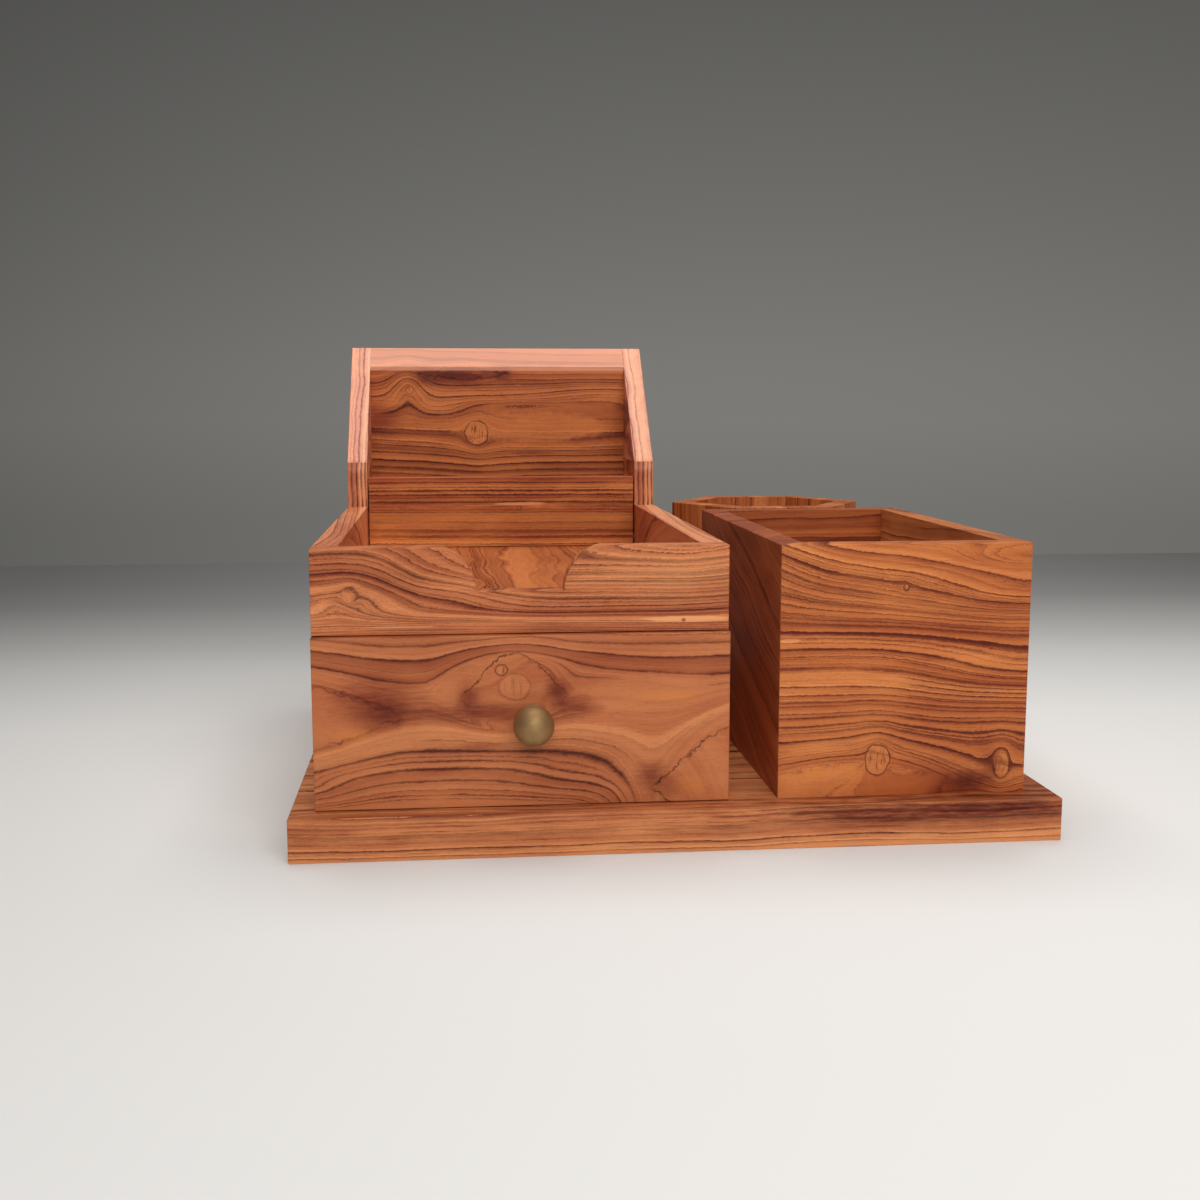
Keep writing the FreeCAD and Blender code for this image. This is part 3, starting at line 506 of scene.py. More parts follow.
ink = calc(
    tree, "MAXIMUM", calc(tree, "MAXIMUM", calc(tree, "MULTIPLY", given["Lines"], busy), given["Rim"]),
    calc(tree, "MULTIPLY", given["Strokes"], 0.8))
ink = calc(tree, "MULTIPLY", ink, calc(tree, "ADD", calc(tree, "MULTIPLY", fibre, 0.6), 0.95), clamp=True)
colour = blend_colours(tree, ink, colour, given["Dark"])
pores = calc(
    tree, "MULTIPLY", calc(tree, "SUBTRACT", noise(tree, spot, (3.5, 50.0, 50.0), 1.0), 0.15), 9.0,
    clamp=True)
colour = blend_colours(tree, calc(tree, "MULTIPLY", pores, 0.45), colour, given["Dark"])
tree.links.new(colour, result["Color"])
tree.links.new(calc(tree, "ADD", calc(tree, "MULTIPLY", fibre, 0.2), 0.4), result["Roughness"])
tree.links.new(
    calc(
        tree, "SUBTRACT", calc(tree, "MULTIPLY", fibre, 0.5),
        calc(tree, "ADD", pores, calc(tree, "MULTIPLY", line, 0.3))),
    result["Height"])

# How a board lies: which way its length, its width and its thickness run in the object.
LENGTH_X_WIDTH_Z = Matrix(((1, 0, 0), (0, 0, 1), (0, -1, 0)))
LENGTH_X_WIDTH_Y = Matrix(((1, 0, 0), (0, 1, 0), (0, 0, 1)))
LENGTH_Y_WIDTH_Z = Matrix(((0, 1, 0), (0, 0, 1), (1, 0, 0)))
LENGTH_Y_WIDTH_X = Matrix(((0, 1, 0), (-1, 0, 0), (0, 0, 1)))


def add_group(tree, group, links, **values):
    """Put a node group into a tree, with its linked sockets and its own values."""
    node = tree.nodes.new("ShaderNodeGroup")
    node.node_tree = group
    for label, socket in links.items():
        tree.links.new(socket, node.inputs[label])
    for label, value in values.items():
        node.inputs[label].default_value = value
    return node.outputs


# Cream is pale wood. The smoke colour is multiplied over the timber: a dark mineral stain on most boards, and
# painted shade on the inner faces of the cabinet sides and on the flap's lower half. The pale pink laid over
# a board's top edge is a painted highlight of the light on a bevel.
CREAM = paint(244, 172, 112)
DARK_STAIN_AND_SHADE = paint(178, 138, 140)
BEVEL_HIGHLIGHT = paint(250, 182, 154)
BEVEL_HIGHLIGHT_SHARE = 0.52

# Figure is worked out in centimetres. Swells and flecks reach this far into a board's thickness.
CENTIMETRES = 100
SWELL_THICKNESS = 4.0
FLECK_THICKNESS = 30.0
TIMBER_BUMP = 0.35
TIMBER_RELIEF = 0.00012


def timber(
        name, lie, centre, lean=(0.0, 0.0), wander=0.6, ripple=0.1, rough=1.0, swells=(), eyes=(), knots=(),
        marks=(), flecks=(), sheen=0.2, pale=None, **looks):
    """Oiled timber for one board. centre is the board's own middle, in metres. The rest is in
    centimetres along and across the board from there, with one tuple for each of these:
    swells: along, across, reach along, reach across, lift
    eyes: along, across, half length, half width, spread, push, ink, shade, foot, below which
        the rim fades
    knots: along, across, radius, squash, ink
    marks: level, width, fade, ink, start, end
    flecks: along, across, half length, half width, edge, strength, stain, which is DARK_STAIN_AND_SHADE
        multiplied over the timber or any other colour laid on it
    pale is the height across the board from which a pale pink is laid over it, a painted highlight for a lit
    bevel. The swells of the back panel, the tray front, the drawer front and the box front were solved by
    least squares from grain lines picked one by one, and a few of them were then changed."""
    material, tree = new_material(name)
    where = tree.nodes.new("ShaderNodeTexCoord")
    board = tree.nodes.new("ShaderNodeMapping")
    tree.links.new(where.outputs["Object"], board.inputs["Vector"])
    board.inputs["Scale"].default_value = (CENTIMETRES, CENTIMETRES, CENTIMETRES)
    board.inputs["Rotation"].default_value = lie.to_euler("XYZ")
    board.inputs["Location"].default_value = -(lie @ (Vector(centre) * CENTIMETRES))
    spot = board.outputs["Vector"]
    growth = vector_calc(tree, "DOT_PRODUCT", spot, (lean[0], 1.0, lean[1]))
    for along, across, reach_along, reach_across, lift in swells:
        growth = add_group(
            tree, swell_group, {"Vector": spot, "Growth": growth}, Centre=(along, across, 0),
            Reach=(reach_along, reach_across, SWELL_THICKNESS), Lift=lift)["Growth"]
    figure = {}
    for along, across, length, width, spread, push, ink, shade, foot in eyes:
        eye = add_group(
            tree, eye_group, {"Vector": spot, "Growth": growth, **figure},
            Centre=(along, across, 0), Length=length, Width=width, Spread=spread, Push=push,
            Ink=ink, Shade=shade, Foot=foot)
        growth = eye["Growth"]
        figure = {label: eye[label] for label in ("Rim", "Smear", "Plain")}
    islands = {label: figure.pop(label) for label in ("Smear", "Plain")} if figure else {}
    for along, across, radius, squash, ink in knots:
        knot = add_group(
            tree, knot_group, {"Vector": spot, "Growth": growth, **figure},
            Centre=(along, across, 0), Radius=radius, Squash=squash, Ink=ink)
        growth = knot["Growth"]
        figure = {label: knot[label] for label in ("Inside", "Rim", "Strokes")}
    growth = add_group(
        tree, waver_group, {"Vector": spot, "Growth": growth}, Wander=wander, Ripple=ripple,
        Rough=rough)["Growth"]
    drawn = {}
    for level, width, fade, ink, start, end in marks:
        mark = add_group(
            tree, mark_group, {"Vector": spot, "Growth": growth, **drawn},
            Level=level, Width=width, Fade=fade, Ink=ink, Start=start, End=end)
        drawn = {label: mark[label] for label in ("Lines", "Bands")}
    looks = {label.capitalize(): value for label, value in looks.items()}
    grain = add_group(
        tree, grain_group, {"Vector": spot, "Growth": growth, **figure, **islands, **drawn}, **looks)
    bump = tree.nodes.new("ShaderNodeBump")
    bump.inputs["Strength"].default_value = TIMBER_BUMP
    bump.inputs["Distance"].default_value = TIMBER_RELIEF
    tree.links.new(grain["Height"], bump.inputs["Height"])
    surface = tree.nodes.new("ShaderNodeBsdfPrincipled")
    surface.inputs["Specular IOR Level"].default_value = sheen
    colour = grain["Color"]
    for along, across, length, width, edge, strength, overlay in flecks:
        fleck = add_group(
            tree, fleck_group, {"Vector": spot}, Centre=(along, across, 0),
            Reach=(length, width, FLECK_THICKNESS), Edge=edge, Strength=strength)
        colour = blend_colours(tree, fleck["Mask"], colour, overlay, "MULTIPLY" if overlay == DARK_STAIN_AND_SHADE else "MIX")
    # From the height pale up, the board is washed with pale pink, a painted highlight of the light on a
    # bevel.
    if pale is not None:
        parts = tree.nodes.new("ShaderNodeSeparateXYZ")
        tree.links.new(spot, parts.inputs[0])
        share = calc(tree, "MULTIPLY", calc(tree, "SUBTRACT", parts.outputs["Y"], pale), 12.0, clamp=True)
        colour = blend_colours(tree, calc(tree, "MULTIPLY", share, BEVEL_HIGHLIGHT_SHARE), colour, BEVEL_HIGHLIGHT)
    tree.links.new(colour, surface.inputs["Base Color"])
    tree.links.new(grain["Roughness"], surface.inputs["Roughness"])
    tree.links.new(bump.outputs["Normal"], surface.inputs["Normal"])
    out = tree.nodes.new("ShaderNodeOutputMaterial")
    tree.links.new(surface.outputs[0], out.inputs["Surface"])
    return material


def dress(node, material):
    """Give a CAD node its material."""
    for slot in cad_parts[node].material_slots:
        slot.material = material


def middle(node):
    """The middle of a CAD node's box, in metres."""
    low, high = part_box(node)
    return tuple((a + b) / 2 for a, b in zip(low, high))


dress("base_board", timber(
    "base_board_timber", LENGTH_X_WIDTH_Z, middle("base_board"), lean=(0.0, 0.3), wander=0.5, ripple=0.1,
    rough=0.6, rings=2.6, depth=0.9, fine=1.2, swells=[(-12, 0.6, 7, 1.0, -0.2), (8, -0.4, 9, 1.2, 0.15)],
    marks=[
        (5.2, 0.06, 0.3, 0.7, 3.0, 20), (4.95, 0.05, -0.35, 0.7, 4.0, 20), (4.72, 0.04, 0.1, 0.6, 5.0, 20),
        (5.15, 0.02, 0.3, 0.4, -20, 2), (5.6, 0.05, 0.3, 0.7, -20, 20), (6.2, 0.05, 0.4, 0.6, -20, 20)],
    flecks=[
        (11.0, 0.5, 9.5, 0.5, 2.0, 1.0, DARK_STAIN_AND_SHADE), (9.0, 0.2, 13.0, 0.75, 1.2, 0.8, DARK_STAIN_AND_SHADE),
        (-15.0, 0.35, 4.0, 0.3, 1.5, 0.6, DARK_STAIN_AND_SHADE)],
    light=paint(240, 162, 104), middle=paint(200, 118, 72)))


# ---------------------------------------------------------------- cabinet sides and gables
# Each side is a flat-sawn board with the tray wall stepped out of it and its front corner
# rounded, and a gable of other timber glued on top, so the figure breaks at the seam.

# Dark stripes through the thickness, only about the rounded knee and the upright's front edge.
STRIPES = [
    (-0.35, 0.04, 0.06, 1.0, 6.8, 8.8), (-0.15, 0.045, 0.05, 1.0, 6.8, 8.8),
    (0.08, 0.06, 0.05, 1.0, 6.8, 8.8), (0.34, 0.045, 0.06, 1.0, 6.8, 8.8)]
GABLE_SHIFT = 0.01
GABLE_MIDDLE = 0.17
for name, shift, inner_painted_shade in (("left", 1.0, 0.12), ("right", -1.0, 0.5)):
    side = "cabinet_" + name + "_side"
    centre = middle(side)
    dress(side, timber(
        side + "_timber", LENGTH_Y_WIDTH_X, centre, lean=(0.0, 0.01), wander=0.3, ripple=0.05, rough=0.5,
        rings=4.5, depth=1.0, fine=0.7,
        swells=[
            (-6.0, 0, 11.0, 30, 1.3 * shift), (-9.0, 0, 5.0, 30, 0.5 * shift),
            (11.5, 0, 4.5, 30, -0.7 * shift)],
        # This fleck darkens the side's inner face, the tray wall, with smoke as painted shade: lightly on the
        # left side and more on the right.
        flecks=[(-3.0, -0.5 * shift, 12.0, 0.2, 3.0, inner_painted_shade, DARK_STAIN_AND_SHADE)], marks=STRIPES, sheen=0.35,
        light=paint(246, 162, 112), middle=paint(206, 114, 72), dark=paint(84, 30, 22)))
    gable = "cabinet_" + name + "_gable"
    dress(gable, timber(
        gable + "_timber", LENGTH_Y_WIDTH_X, (centre[0], centre[1] + GABLE_SHIFT * shift, GABLE_MIDDLE),
        lean=(0.03 * shift, 0.02), wander=0.7, ripple=0.12, rings=2.6, depth=1.1, fine=0.8, sheen=0.5,
        swells=[(1.0, 0, 3.0, 30, 1.2)],
        marks=[
            (-0.22, 0.03, 0.1, 0.65, -20, 20), (0.16, 0.04, -0.12, 0.65, -20, 20),
            (0.42, 0.02, 0.05, 0.65, -20, 20)],
        # The light and middle colours are lifted to a pale pink, partly the gable timber's own paler tone and
        # partly a painted highlight of the light on the slopes.
        light=paint(252, 174, 130), middle=paint(228, 142, 102), red=paint(180, 96, 76),
        dark=paint(92, 44, 52)))


# ---------------------------------------------------------------- back panel
# A wide board between the sides, bevelled along its top to run flush with the slopes.
# A sound round knot sits low in its middle, and a ragged dark one touches the top left.

HONEY = paint(214, 130, 58)
dress("cabinet_back_panel", timber(
    "cabinet_back_panel_timber", LENGTH_X_WIDTH_Z, middle("cabinet_back_panel"), lean=(0.0, 0.1), wander=0.12,
    ripple=0.08, rings=2.4, depth=1.0, fine=0.8,
    swells=[
        (-4.94, 7.01, 0.92, 1.2, -1.11), (-15.87, 11.82, 9.11, 24.82, -0.65), (3.23, 3.86, 5.01, 0.49, 0.31),
        (5.86, 6.44, 3.98, 0.79, -0.91), (1.02, 6.04, 2.63, 0.35, -0.63)],
    knots=[(-1.2, 4.52, 0.66, 1.05, 0.9), (-4.85, 6.85, 0.2, 1.0, 0.5)],
    eyes=[(-1.9, 7.75, 2.6, 0.3, 0.3, 1.0, 1.0, 1.0, -9), (1.8, 4.85, 6.5, 1.0, 1.0, 0.0, 0.0, 0.0, -9)],
    # The pale pink from the bevel up is a painted highlight of the light on the bevel.
    pale=7.87,
    flecks=[
        (1.4, 5.2, 0.45, 0.16, 3.0, 0.5, HONEY), (2.6, 5.6, 0.5, 0.12, 3.0, 0.4, HONEY),
        (5.0, 5.2, 0.6, 0.2, 3.0, 0.4, HONEY), (0.4, 4.6, 0.3, 0.2, 3.0, 0.3, HONEY),
        (-6.4, 5.2, 1.5, 1.3, 1.2, 0.8, DARK_STAIN_AND_SHADE), (-2.2, 7.5, 2.8, 0.6, 1.5, 1.0, DARK_STAIN_AND_SHADE),
        (-2.6, 7.7, 2.0, 0.4, 1.5, 0.8, DARK_STAIN_AND_SHADE)],
    marks=[
        (2.25, 0.05, 0.2, 0.8, -9, 9), (2.6, 0.06, 0.25, 0.85, -9, 9), (2.95, 0.05, 0.3, 0.8, -9, 9),
        (3.4, 0.05, 0.2, 0.75, -9, 9), (3.8, 0.03, 0.2, 0.6, -9, 9), (4.4, 0.04, 0.3, 0.5, -9, -4.5),
        (5.4, 0.045, 0.25, 0.95, -6.5, -0.5), (5.4, 0.02, 0.2, 0.5, -0.5, 9), (6.3, 0.045, 0.2, 0.85, -9, 9),
        (7.0, 0.05, 0.3, 0.8, -9, 9), (7.3, 0.05, 0.25, 0.8, 0.2, 9), (8.1, 0.03, 0.1, 0.7, -9, 9),
        (8.4, 0.02, 0.15, 0.6, -9, 9), (8.75, 0.04, 0.15, 0.7, -9, 9)],
    light=paint(228, 138, 74), middle=paint(188, 98, 48)))


# ---------------------------------------------------------------- note tray
# The floor is housed in both sides with its grain running back to front and curly, and the
# front board with the finger notch is glued over the ends of the sides, with a loose tenon each.

dress("tray_floor", timber(
    "tray_floor_timber", LENGTH_Y_WIDTH_X, middle("tray_floor"), lean=(0.0, 0.3), wander=2.6, ripple=0.5,
    rings=2.2, light=paint(208, 122, 66), middle=paint(158, 80, 38)))
dress("tray_front", timber(
    "tray_front_timber", LENGTH_X_WIDTH_Z, middle("tray_front"), lean=(0.0, 0.1), wander=0.15, ripple=0.06,
    rings=5.6, depth=0.95, fine=1.0,
    swells=[
        (3.87, -3.61, 8.75, 12.68, -2.65), (-3.95, 0.33, 1.38, 1.42, 0.39), (-1.67, -0.91, 8.02, 0.59, 0.89),
        (5.71, 0.75, 7.08, 3.31, 4.16), (-0.44, 0.52, 3.85, 1.61, 1.6), (-6.74, -0.62, 0.9, 0.5, -0.35)],
    knots=[(-6.5, -0.1, 0.3, 1.0, 0.0)],
    marks=[
        (0.5, 0.05, 0.1, 0.9, -9, 9), (0.85, 0.03, 0.15, 0.8, -9, 9), (1.25, 0.05, 0.1, 0.8, -9, 9),
        (2.2, 0.05, 0.15, 0.7, -9, 9), (2.6, 0.03, 0.15, 0.6, -9, 9), (3.1, 0.04, 0.12, 0.6, -9, 9),
        (-0.55, 0.04, 0.1, 0.8, -7, 0), (-1.0, 0.05, 0.1, 0.55, -7.2, -5.6), (-0.3, 0.03, 0.1, 0.7, -9, 0),
        (0.2, 0.03, 0.15, 0.6, -9, 9), (-1.6, 0.05, 0.1, 0.6, -9, 9)],
    flecks=[
        (6.3, -1.2, 1.9, 0.13, 3.5, 0.8, CREAM), (6.2, -1.24, 0.1, 0.09, 2.0, 1.0, DARK_STAIN_AND_SHADE),
        (6.0, 0.5, 3.6, 1.3, 1.0, 0.3, CREAM), (-5.5, 0.2, 3.2, 1.7, 1.0, 0.35, DARK_STAIN_AND_SHADE),
        (-4.6, -1.35, 1.6, 0.05, 3.5, 0.4, CREAM)],
    light=paint(232, 148, 94), middle=paint(190, 106, 64)))


# ---------------------------------------------------------------- folding flap
# A quarter-sawn board with straight stripes, hung between the cheeks on two brass pins.
# It stands against two small blocks and folds forward onto the tray floor.

ROSE = paint(206, 112, 84)
dress("lift_flap", timber(
    "lift_flap_timber", LENGTH_X_WIDTH_Z, middle("lift_flap"), lean=(0.004, 0.05), wander=0.15, ripple=0.03,
    rings=3.2, depth=1.05, fine=0.7, knots=[(0.88, 0.2, 0.06, 0.6, 0.7)],
    marks=[
        (1.56, 0.05, 0.15, 0.85, -9, 9), (1.3, 0.03, 0.1, 0.7, -9, 9), (1.12, 0.05, 0.2, 0.85, -9, 9),
        (0.5, 0.07, -0.2, 0.9, -9, 9), (0.0, 0.03, 0.8, 0.55, -9, 9), (-0.9, 0.02, 0.4, 0.5, -9, 9)],
    # The wide smoke fleck over the flap's lower half is painted shade, which darkens and reddens it like
    # bounce light off the wood.
    flecks=[
        (-4.9, -0.75, 0.9, 0.1, 3.5, 0.3, ROSE), (-1.9, -1.4, 0.35, 0.12, 3.5, 0.25, ROSE),
        (0.0, -0.5, 14.0, 1.0, 3.0, 0.5, DARK_STAIN_AND_SHADE), (0.9, 0.42, 1.6, 0.09, 3.0, 0.6, CREAM)],
    light=paint(255, 168, 90), middle=paint(184, 88, 50)))


# ---------------------------------------------------------------- drawer
# An overlay front of flat-sawn timber with arches and an oval knot. The sides, back and
# runners are plain straight-grained wood and the bottom is thin plywood let into grooves.

dress("drawer_front", timber(
    "drawer_front_timber", LENGTH_X_WIDTH_Z, middle("drawer_front"), lean=(0.0, 0.1), wander=0.1, ripple=0.09,
    rings=1.3, depth=0.7, fine=0.5,
    swells=[
        (-0.86, 1.23, 1.66, 2.46, -2.24), (1.97, -2.29, 1.89, 0.88, 0.51), (5.15, -5.49, 1.79, 3.42, 4.15),
        (3.41, 1.56, 3.27, 0.56, -0.52), (-8.5, -2.51, 1.65, 0.5, 0.59), (1.01, 2.24, 2.06, 0.5, -0.71),
        (-0.92, 2.35, 1.51, 1.94, 2.35)],
    eyes=[
        (-0.85, 1.15, 2.9, 1.5, 1.1, 1.0, 0.0, 0.0, -9), (-0.35, 0.95, 2.1, 1.7, 1.1, 0.0, 1.0, 1.0, -0.4),
        (-9.3, 0.3, 5.0, 1.35, 1.5, 1.0, 0.6, 1.0, -9), (8.8, -2.7, 4.0, 2.5, 0.7, 1.0, 1.0, 0.8, -9),
        (4.9, 0.6, 4.4, 1.3, 1.0, 0.0, 0.0, 0.0, -9)],
    knots=[(-0.85, 2.0, 0.2, 0.9, 0.7), (-0.35, 1.35, 0.5, 0.85, 0.3)],
    marks=[
        (3.0, 0.03, 0.1, 0.6, -9, 9), (2.45, 0.05, 0.5, 0.85, -9, 9), (2.0, 0.03, 0.2, 0.5, -9, 9),
        (1.6, 0.07, -0.3, 0.9, -9, 9), (1.15, 0.03, 0.1, 0.6, 1, 9), (-0.6, 0.02, 0.1, 0.5, -4, 4),
        (-1.0, 0.08, 0.2, 0.95, -9, 4.2), (-1.22, 0.02, 0.1, 0.6, -9, 3), (-1.4, 0.04, 0.1, 0.8, -9, 4.2),
        (-1.7, 0.07, 0.35, 0.95, -9, 4.2), (-2.15, 0.05, 0.15, 0.85, -9, 4), (-2.5, 0.02, 0.1, 0.6, -9, 4),
        (-2.7, 0.03, 0.1, 0.75, -9, 4), (-2.85, 0.02, 0.1, 0.6, -9, 4)],
    flecks=[
        (-1.3, 0.35, 2.2, 0.5, 1.3, 0.9, DARK_STAIN_AND_SHADE), (-5.5, 0.9, 2.1, 1.2, 1.1, 1.0, DARK_STAIN_AND_SHADE),
        (2.1, 0.5, 1.1, 0.5, 1.2, 0.9, DARK_STAIN_AND_SHADE), (-3.2, 0.4, 1.8, 0.6, 1.0, 0.7, DARK_STAIN_AND_SHADE),
        (4.9, -2.2, 0.8, 0.7, 1.2, 0.8, DARK_STAIN_AND_SHADE), (-1.6, -0.95, 1.2, 0.25, 1.2, 0.6, DARK_STAIN_AND_SHADE),
        (1.2, 1.3, 0.5, 0.5, 1.2, 0.7, DARK_STAIN_AND_SHADE), (5.6, 0.9, 1.6, 0.35, 1.5, 0.4, HONEY),
        (-6.5, -0.4, 1.0, 0.3, 1.5, 0.4, HONEY), (6.5, -2.6, 0.9, 0.5, 1.5, 0.35, HONEY)],
    light=paint(211, 133, 83), middle=paint(182, 100, 60)))


def plain_wood(name, lie, centre):
    """Plain straight-grained wood for the inner pieces."""
    return timber(
        name, lie, centre, lean=(0.01, 0.1), wander=0.4, ripple=0.04, rings=3.0, depth=0.6, fine=0.4,
        sheen=0.3, light=paint(216, 162, 116), middle=paint(196, 138, 94), red=paint(162, 104, 68),
        dark=paint(122, 72, 46))


for node in ("drawer_left_side", "drawer_right_side"):
    dress(node, plain_wood(node + "_timber", LENGTH_Y_WIDTH_Z, middle(node)))
dress("drawer_back", plain_wood("drawer_back_timber", LENGTH_X_WIDTH_Z, middle("drawer_back")))
dress("drawer_bottom", plain_wood("drawer_bottom_ply", LENGTH_Y_WIDTH_X, middle("drawer_bottom")))
for node in ("drawer_runner_left", "drawer_runner_right"):
    dress(node, plain_wood(node + "_timber", LENGTH_Y_WIDTH_X, middle(node)))
dress("drawer_stop", plain_wood("drawer_stop_timber", LENGTH_X_WIDTH_Z, middle("drawer_stop")))
for node in ("flap_stop_left", "flap_stop_right"):
    dress(node, plain_wood(node + "_timber", LENGTH_Y_WIDTH_Z, middle(node)))


# ---------------------------------------------------------------- knob and other metal
# A turned brass ball with a short neck stands on a flat rose. The brass is aged and brown,
# a little brighter where fingers rub it. The screws are zinc plated.

MILLIMETRES = 1000
METAL_BUMP = 0.12
METAL_RELIEF = 0.00005


def aged_metal(name, bright, dull, roughness, metallic=1.0):
    """Metal clouded between a bright and a dull colour, with fine specks in its polish."""
    material, tree = new_material(name)
    where = tree.nodes.new("ShaderNodeTexCoord")
    place = tree.nodes.new("ShaderNodeMapping")
    tree.links.new(where.outputs["Object"], place.inputs["Vector"])
    place.inputs["Scale"].default_value = (MILLIMETRES, MILLIMETRES, MILLIMETRES)
    spot = place.outputs["Vector"]
    cloud = calc(
        tree, "ADD", calc(tree, "MULTIPLY", noise(tree, spot, (0.35, 0.35, 0.35), 4.0, 0.6), 1.4), 0.5,
        clamp=True)
    speck = noise(tree, spot, (3.0, 3.0, 3.0), 3.0, 0.6)
    surface = tree.nodes.new("ShaderNodeBsdfPrincipled")
    surface.inputs["Metallic"].default_value = metallic
    tree.links.new(blend_colours(tree, cloud, dull, bright), surface.inputs["Base Color"])
    tree.links.new(
        calc(tree, "ADD", calc(tree, "MULTIPLY", speck, 0.15), roughness), surface.inputs["Roughness"])
    bump = tree.nodes.new("ShaderNodeBump")
    bump.inputs["Strength"].default_value = METAL_BUMP
    bump.inputs["Distance"].default_value = METAL_RELIEF
    tree.links.new(speck, bump.inputs["Height"])
    tree.links.new(bump.outputs["Normal"], surface.inputs["Normal"])
    out = tree.nodes.new("ShaderNodeOutputMaterial")
    tree.links.new(surface.outputs[0], out.inputs["Surface"])
    return material


aged_brass = aged_metal("aged_brass", paint(178, 146, 102), paint(150, 118, 78), 0.62, 0.95)
zinc_steel = aged_metal("zinc_steel", paint(196, 196, 190), paint(168, 168, 164), 0.35)
for node in ("knob", "knob_rose", "flap_pin_left", "flap_pin_right"):
    dress(node, aged_brass)
for node in ("knob_screw", "drawer_stop_screw"):
    dress(node, zinc_steel)


# ---------------------------------------------------------------- open box
# Four mitred walls with the grain running round them, keyed at the corners with hidden
# splines. The front shows fine waving lines over two knots near its foot.

dress("box_front", timber(
    "box_front_timber", LENGTH_X_WIDTH_Z, middle("box_front"), lean=(0.0, 0.08), wander=0.1, ripple=0.07,
    rings=4.4, depth=1.0, fine=1.0,
    swells=[
        (-7.69, 4.73, 3.86, 2.09, -1.75), (5.0, 3.07, 4.14, 1.15, 1.19), (5.01, -0.07, 4.27, 1.43, 1.04),
        (2.29, -4.11, 5.29, 1.68, 2.23), (0.73, -3.94, 4.18, 1.46, -1.67), (4.98, 4.45, 2.91, 0.48, 0.72)],
    eyes=[(-2.0, -4.6, 5.2, 0.9, 0.5, 1.0, 0.3, 1.0, -9)],
    knots=[
        (-1.03, -3.55, 0.62, 1.25, 0.9), (4.05, -3.9, 0.5, 1.6, 0.45), (3.95, -3.7, 0.14, 1.2, 0.6),
        (-0.03, 3.3, 0.12, 1.2, 0.9)],
    marks=[
        (3.7, 0.03, 0.2, 0.45, -9, 9), (3.1, 0.045, 0.2, 0.7, -9, 9), (2.9, 0.025, 0.1, 0.7, -9, 9),
        (2.6, 0.03, 0.1, 0.7, -9, 9), (1.95, 0.035, 0.15, 0.7, -9, 9), (0.85, 0.03, 0.1, 0.8, -9, 9),
        (0.5, 0.025, 0.1, 0.8, 0, 9), (0.15, 0.035, 0.2, 0.8, -9, 9), (-0.1, 0.025, 0.1, 0.9, 0, 9),
        (-0.35, 0.03, 0.1, 0.9, 0.5, 9), (-0.6, 0.025, 0.1, 0.7, -9, 9), (-0.85, 0.03, 0.1, 0.8, 0, 9),
        (-1.2, 0.03, 0.3, 0.8, -9, 9), (-1.8, 0.04, 0.1, 0.85, -9, 9), (-2.15, 0.045, 0.15, 0.9, -9, 9),
        (-2.4, 0.03, 0.1, 0.8, -9, 9), (-2.75, 0.045, 0.2, 0.85, -9, 2.6), (-3.3, 0.03, 0.15, 0.7, 0, 2.5),
        (-4.6, 0.06, 0.2, 0.8, -1, 2)],
    flecks=[
        (-4.6, 1.25, 0.5, 0.1, 3.5, 0.45, CREAM), (2.9, -4.5, 1.3, 0.6, 1.3, 0.8, DARK_STAIN_AND_SHADE),
        (3.6, -3.9, 0.7, 0.9, 1.2, 0.6, DARK_STAIN_AND_SHADE), (-2.1, -3.95, 0.35, 0.3, 2.0, 0.5, HONEY),
        (-3.4, -4.05, 0.5, 0.3, 2.0, 0.4, HONEY)],
    light=paint(224, 138, 76), middle=paint(182, 94, 46)))
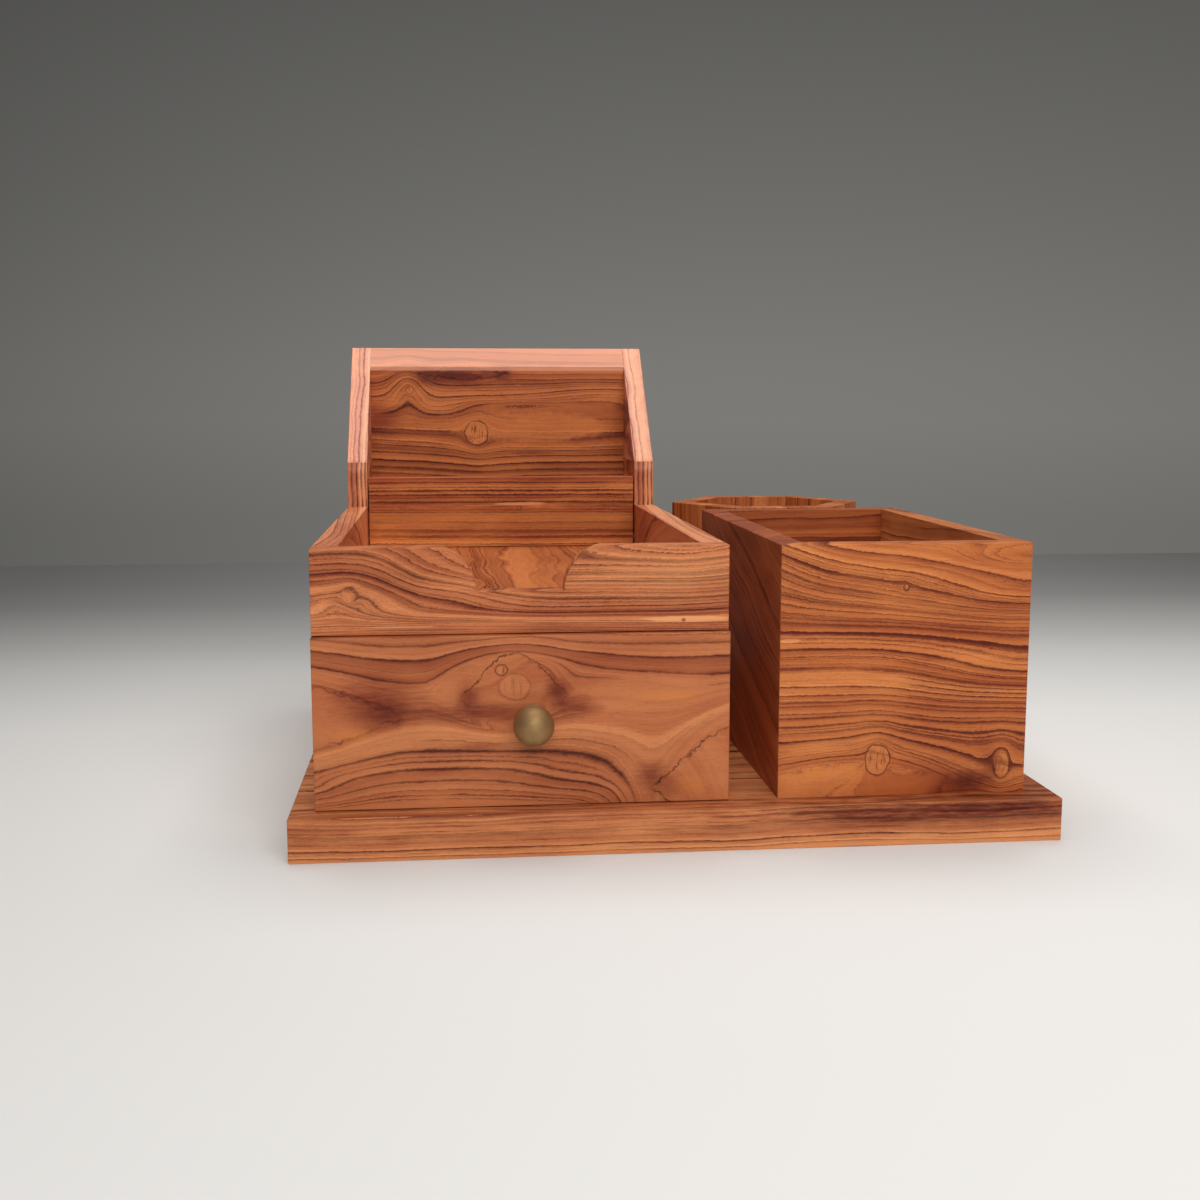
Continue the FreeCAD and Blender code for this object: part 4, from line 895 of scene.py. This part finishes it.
dress("box_right_side", timber(
    "box_right_side_timber", LENGTH_Y_WIDTH_Z, middle("box_right_side"), lean=(0.05, 0.2), wander=0.9,
    ripple=0.1, rings=2.6, light=paint(230, 146, 84), middle=paint(186, 104, 58)))
dress("box_back", timber(
    "box_back_timber", LENGTH_X_WIDTH_Z, middle("box_back"), lean=(-0.03, 0.2), wander=0.9, ripple=0.12,
    rings=3.0, depth=1.2, light=paint(200, 112, 58), middle=paint(150, 74, 38)))
# The left side takes a darker copy of the box timber, as painted shade for the narrow gap beside the cabinet.
dress("box_left_side", timber(
    "box_left_side_timber", LENGTH_Y_WIDTH_Z, middle("box_left_side"), lean=(-0.3, 0.2), wander=1.2,
    ripple=0.12, rings=2.4, depth=1.2, light=paint(184, 100, 54), middle=paint(140, 66, 36)))
dress("box_bottom", plain_wood("box_bottom_ply", LENGTH_Y_WIDTH_X, middle("box_bottom")))
dress("box_splines", plain_wood("box_spline_timber", LENGTH_X_WIDTH_Z, middle("box_splines")))


# ---------------------------------------------------------------- pen cup
# Six mitred staves glued into a hexagon, each with its grain upright, round a plywood bottom.
# The loose tenons, which are hidden in their mortises, come last.

STAVES = 6
STAVE_TURN = 360 // STAVES
STAVE_START = 0.067
STAVE_STEP = 0.021
upright = Matrix(((0, 0, 1), (0, 1, 0), (-1, 0, 0)))
for number in range(1, STAVES + 1):
    node = "cup_stave_" + str(number)
    facing = Matrix.Rotation(-math.radians(STAVE_TURN * number - STAVE_TURN // 2), 3, "Z")
    # Each stave takes its figure from another height of the same timber, so no two look alike.
    start = STAVE_START + STAVE_STEP * number
    place = middle(node)
    dress(node, timber(
        node + "_timber", upright @ facing, (place[0], place[1], start), lean=(0.02, 0.3), wander=1.0,
        ripple=0.12, rings=2.6, light=paint(214, 128, 70), middle=paint(168, 86, 44)))
dress("cup_bottom", plain_wood("cup_bottom_ply", LENGTH_X_WIDTH_Y, middle("cup_bottom")))
for node in ("cabinet_tenons", "box_tenons", "cup_tenons", "tray_front_tenons", "back_panel_tenons"):
    dress(node, plain_wood(node + "_timber", LENGTH_X_WIDTH_Z, middle(node)))
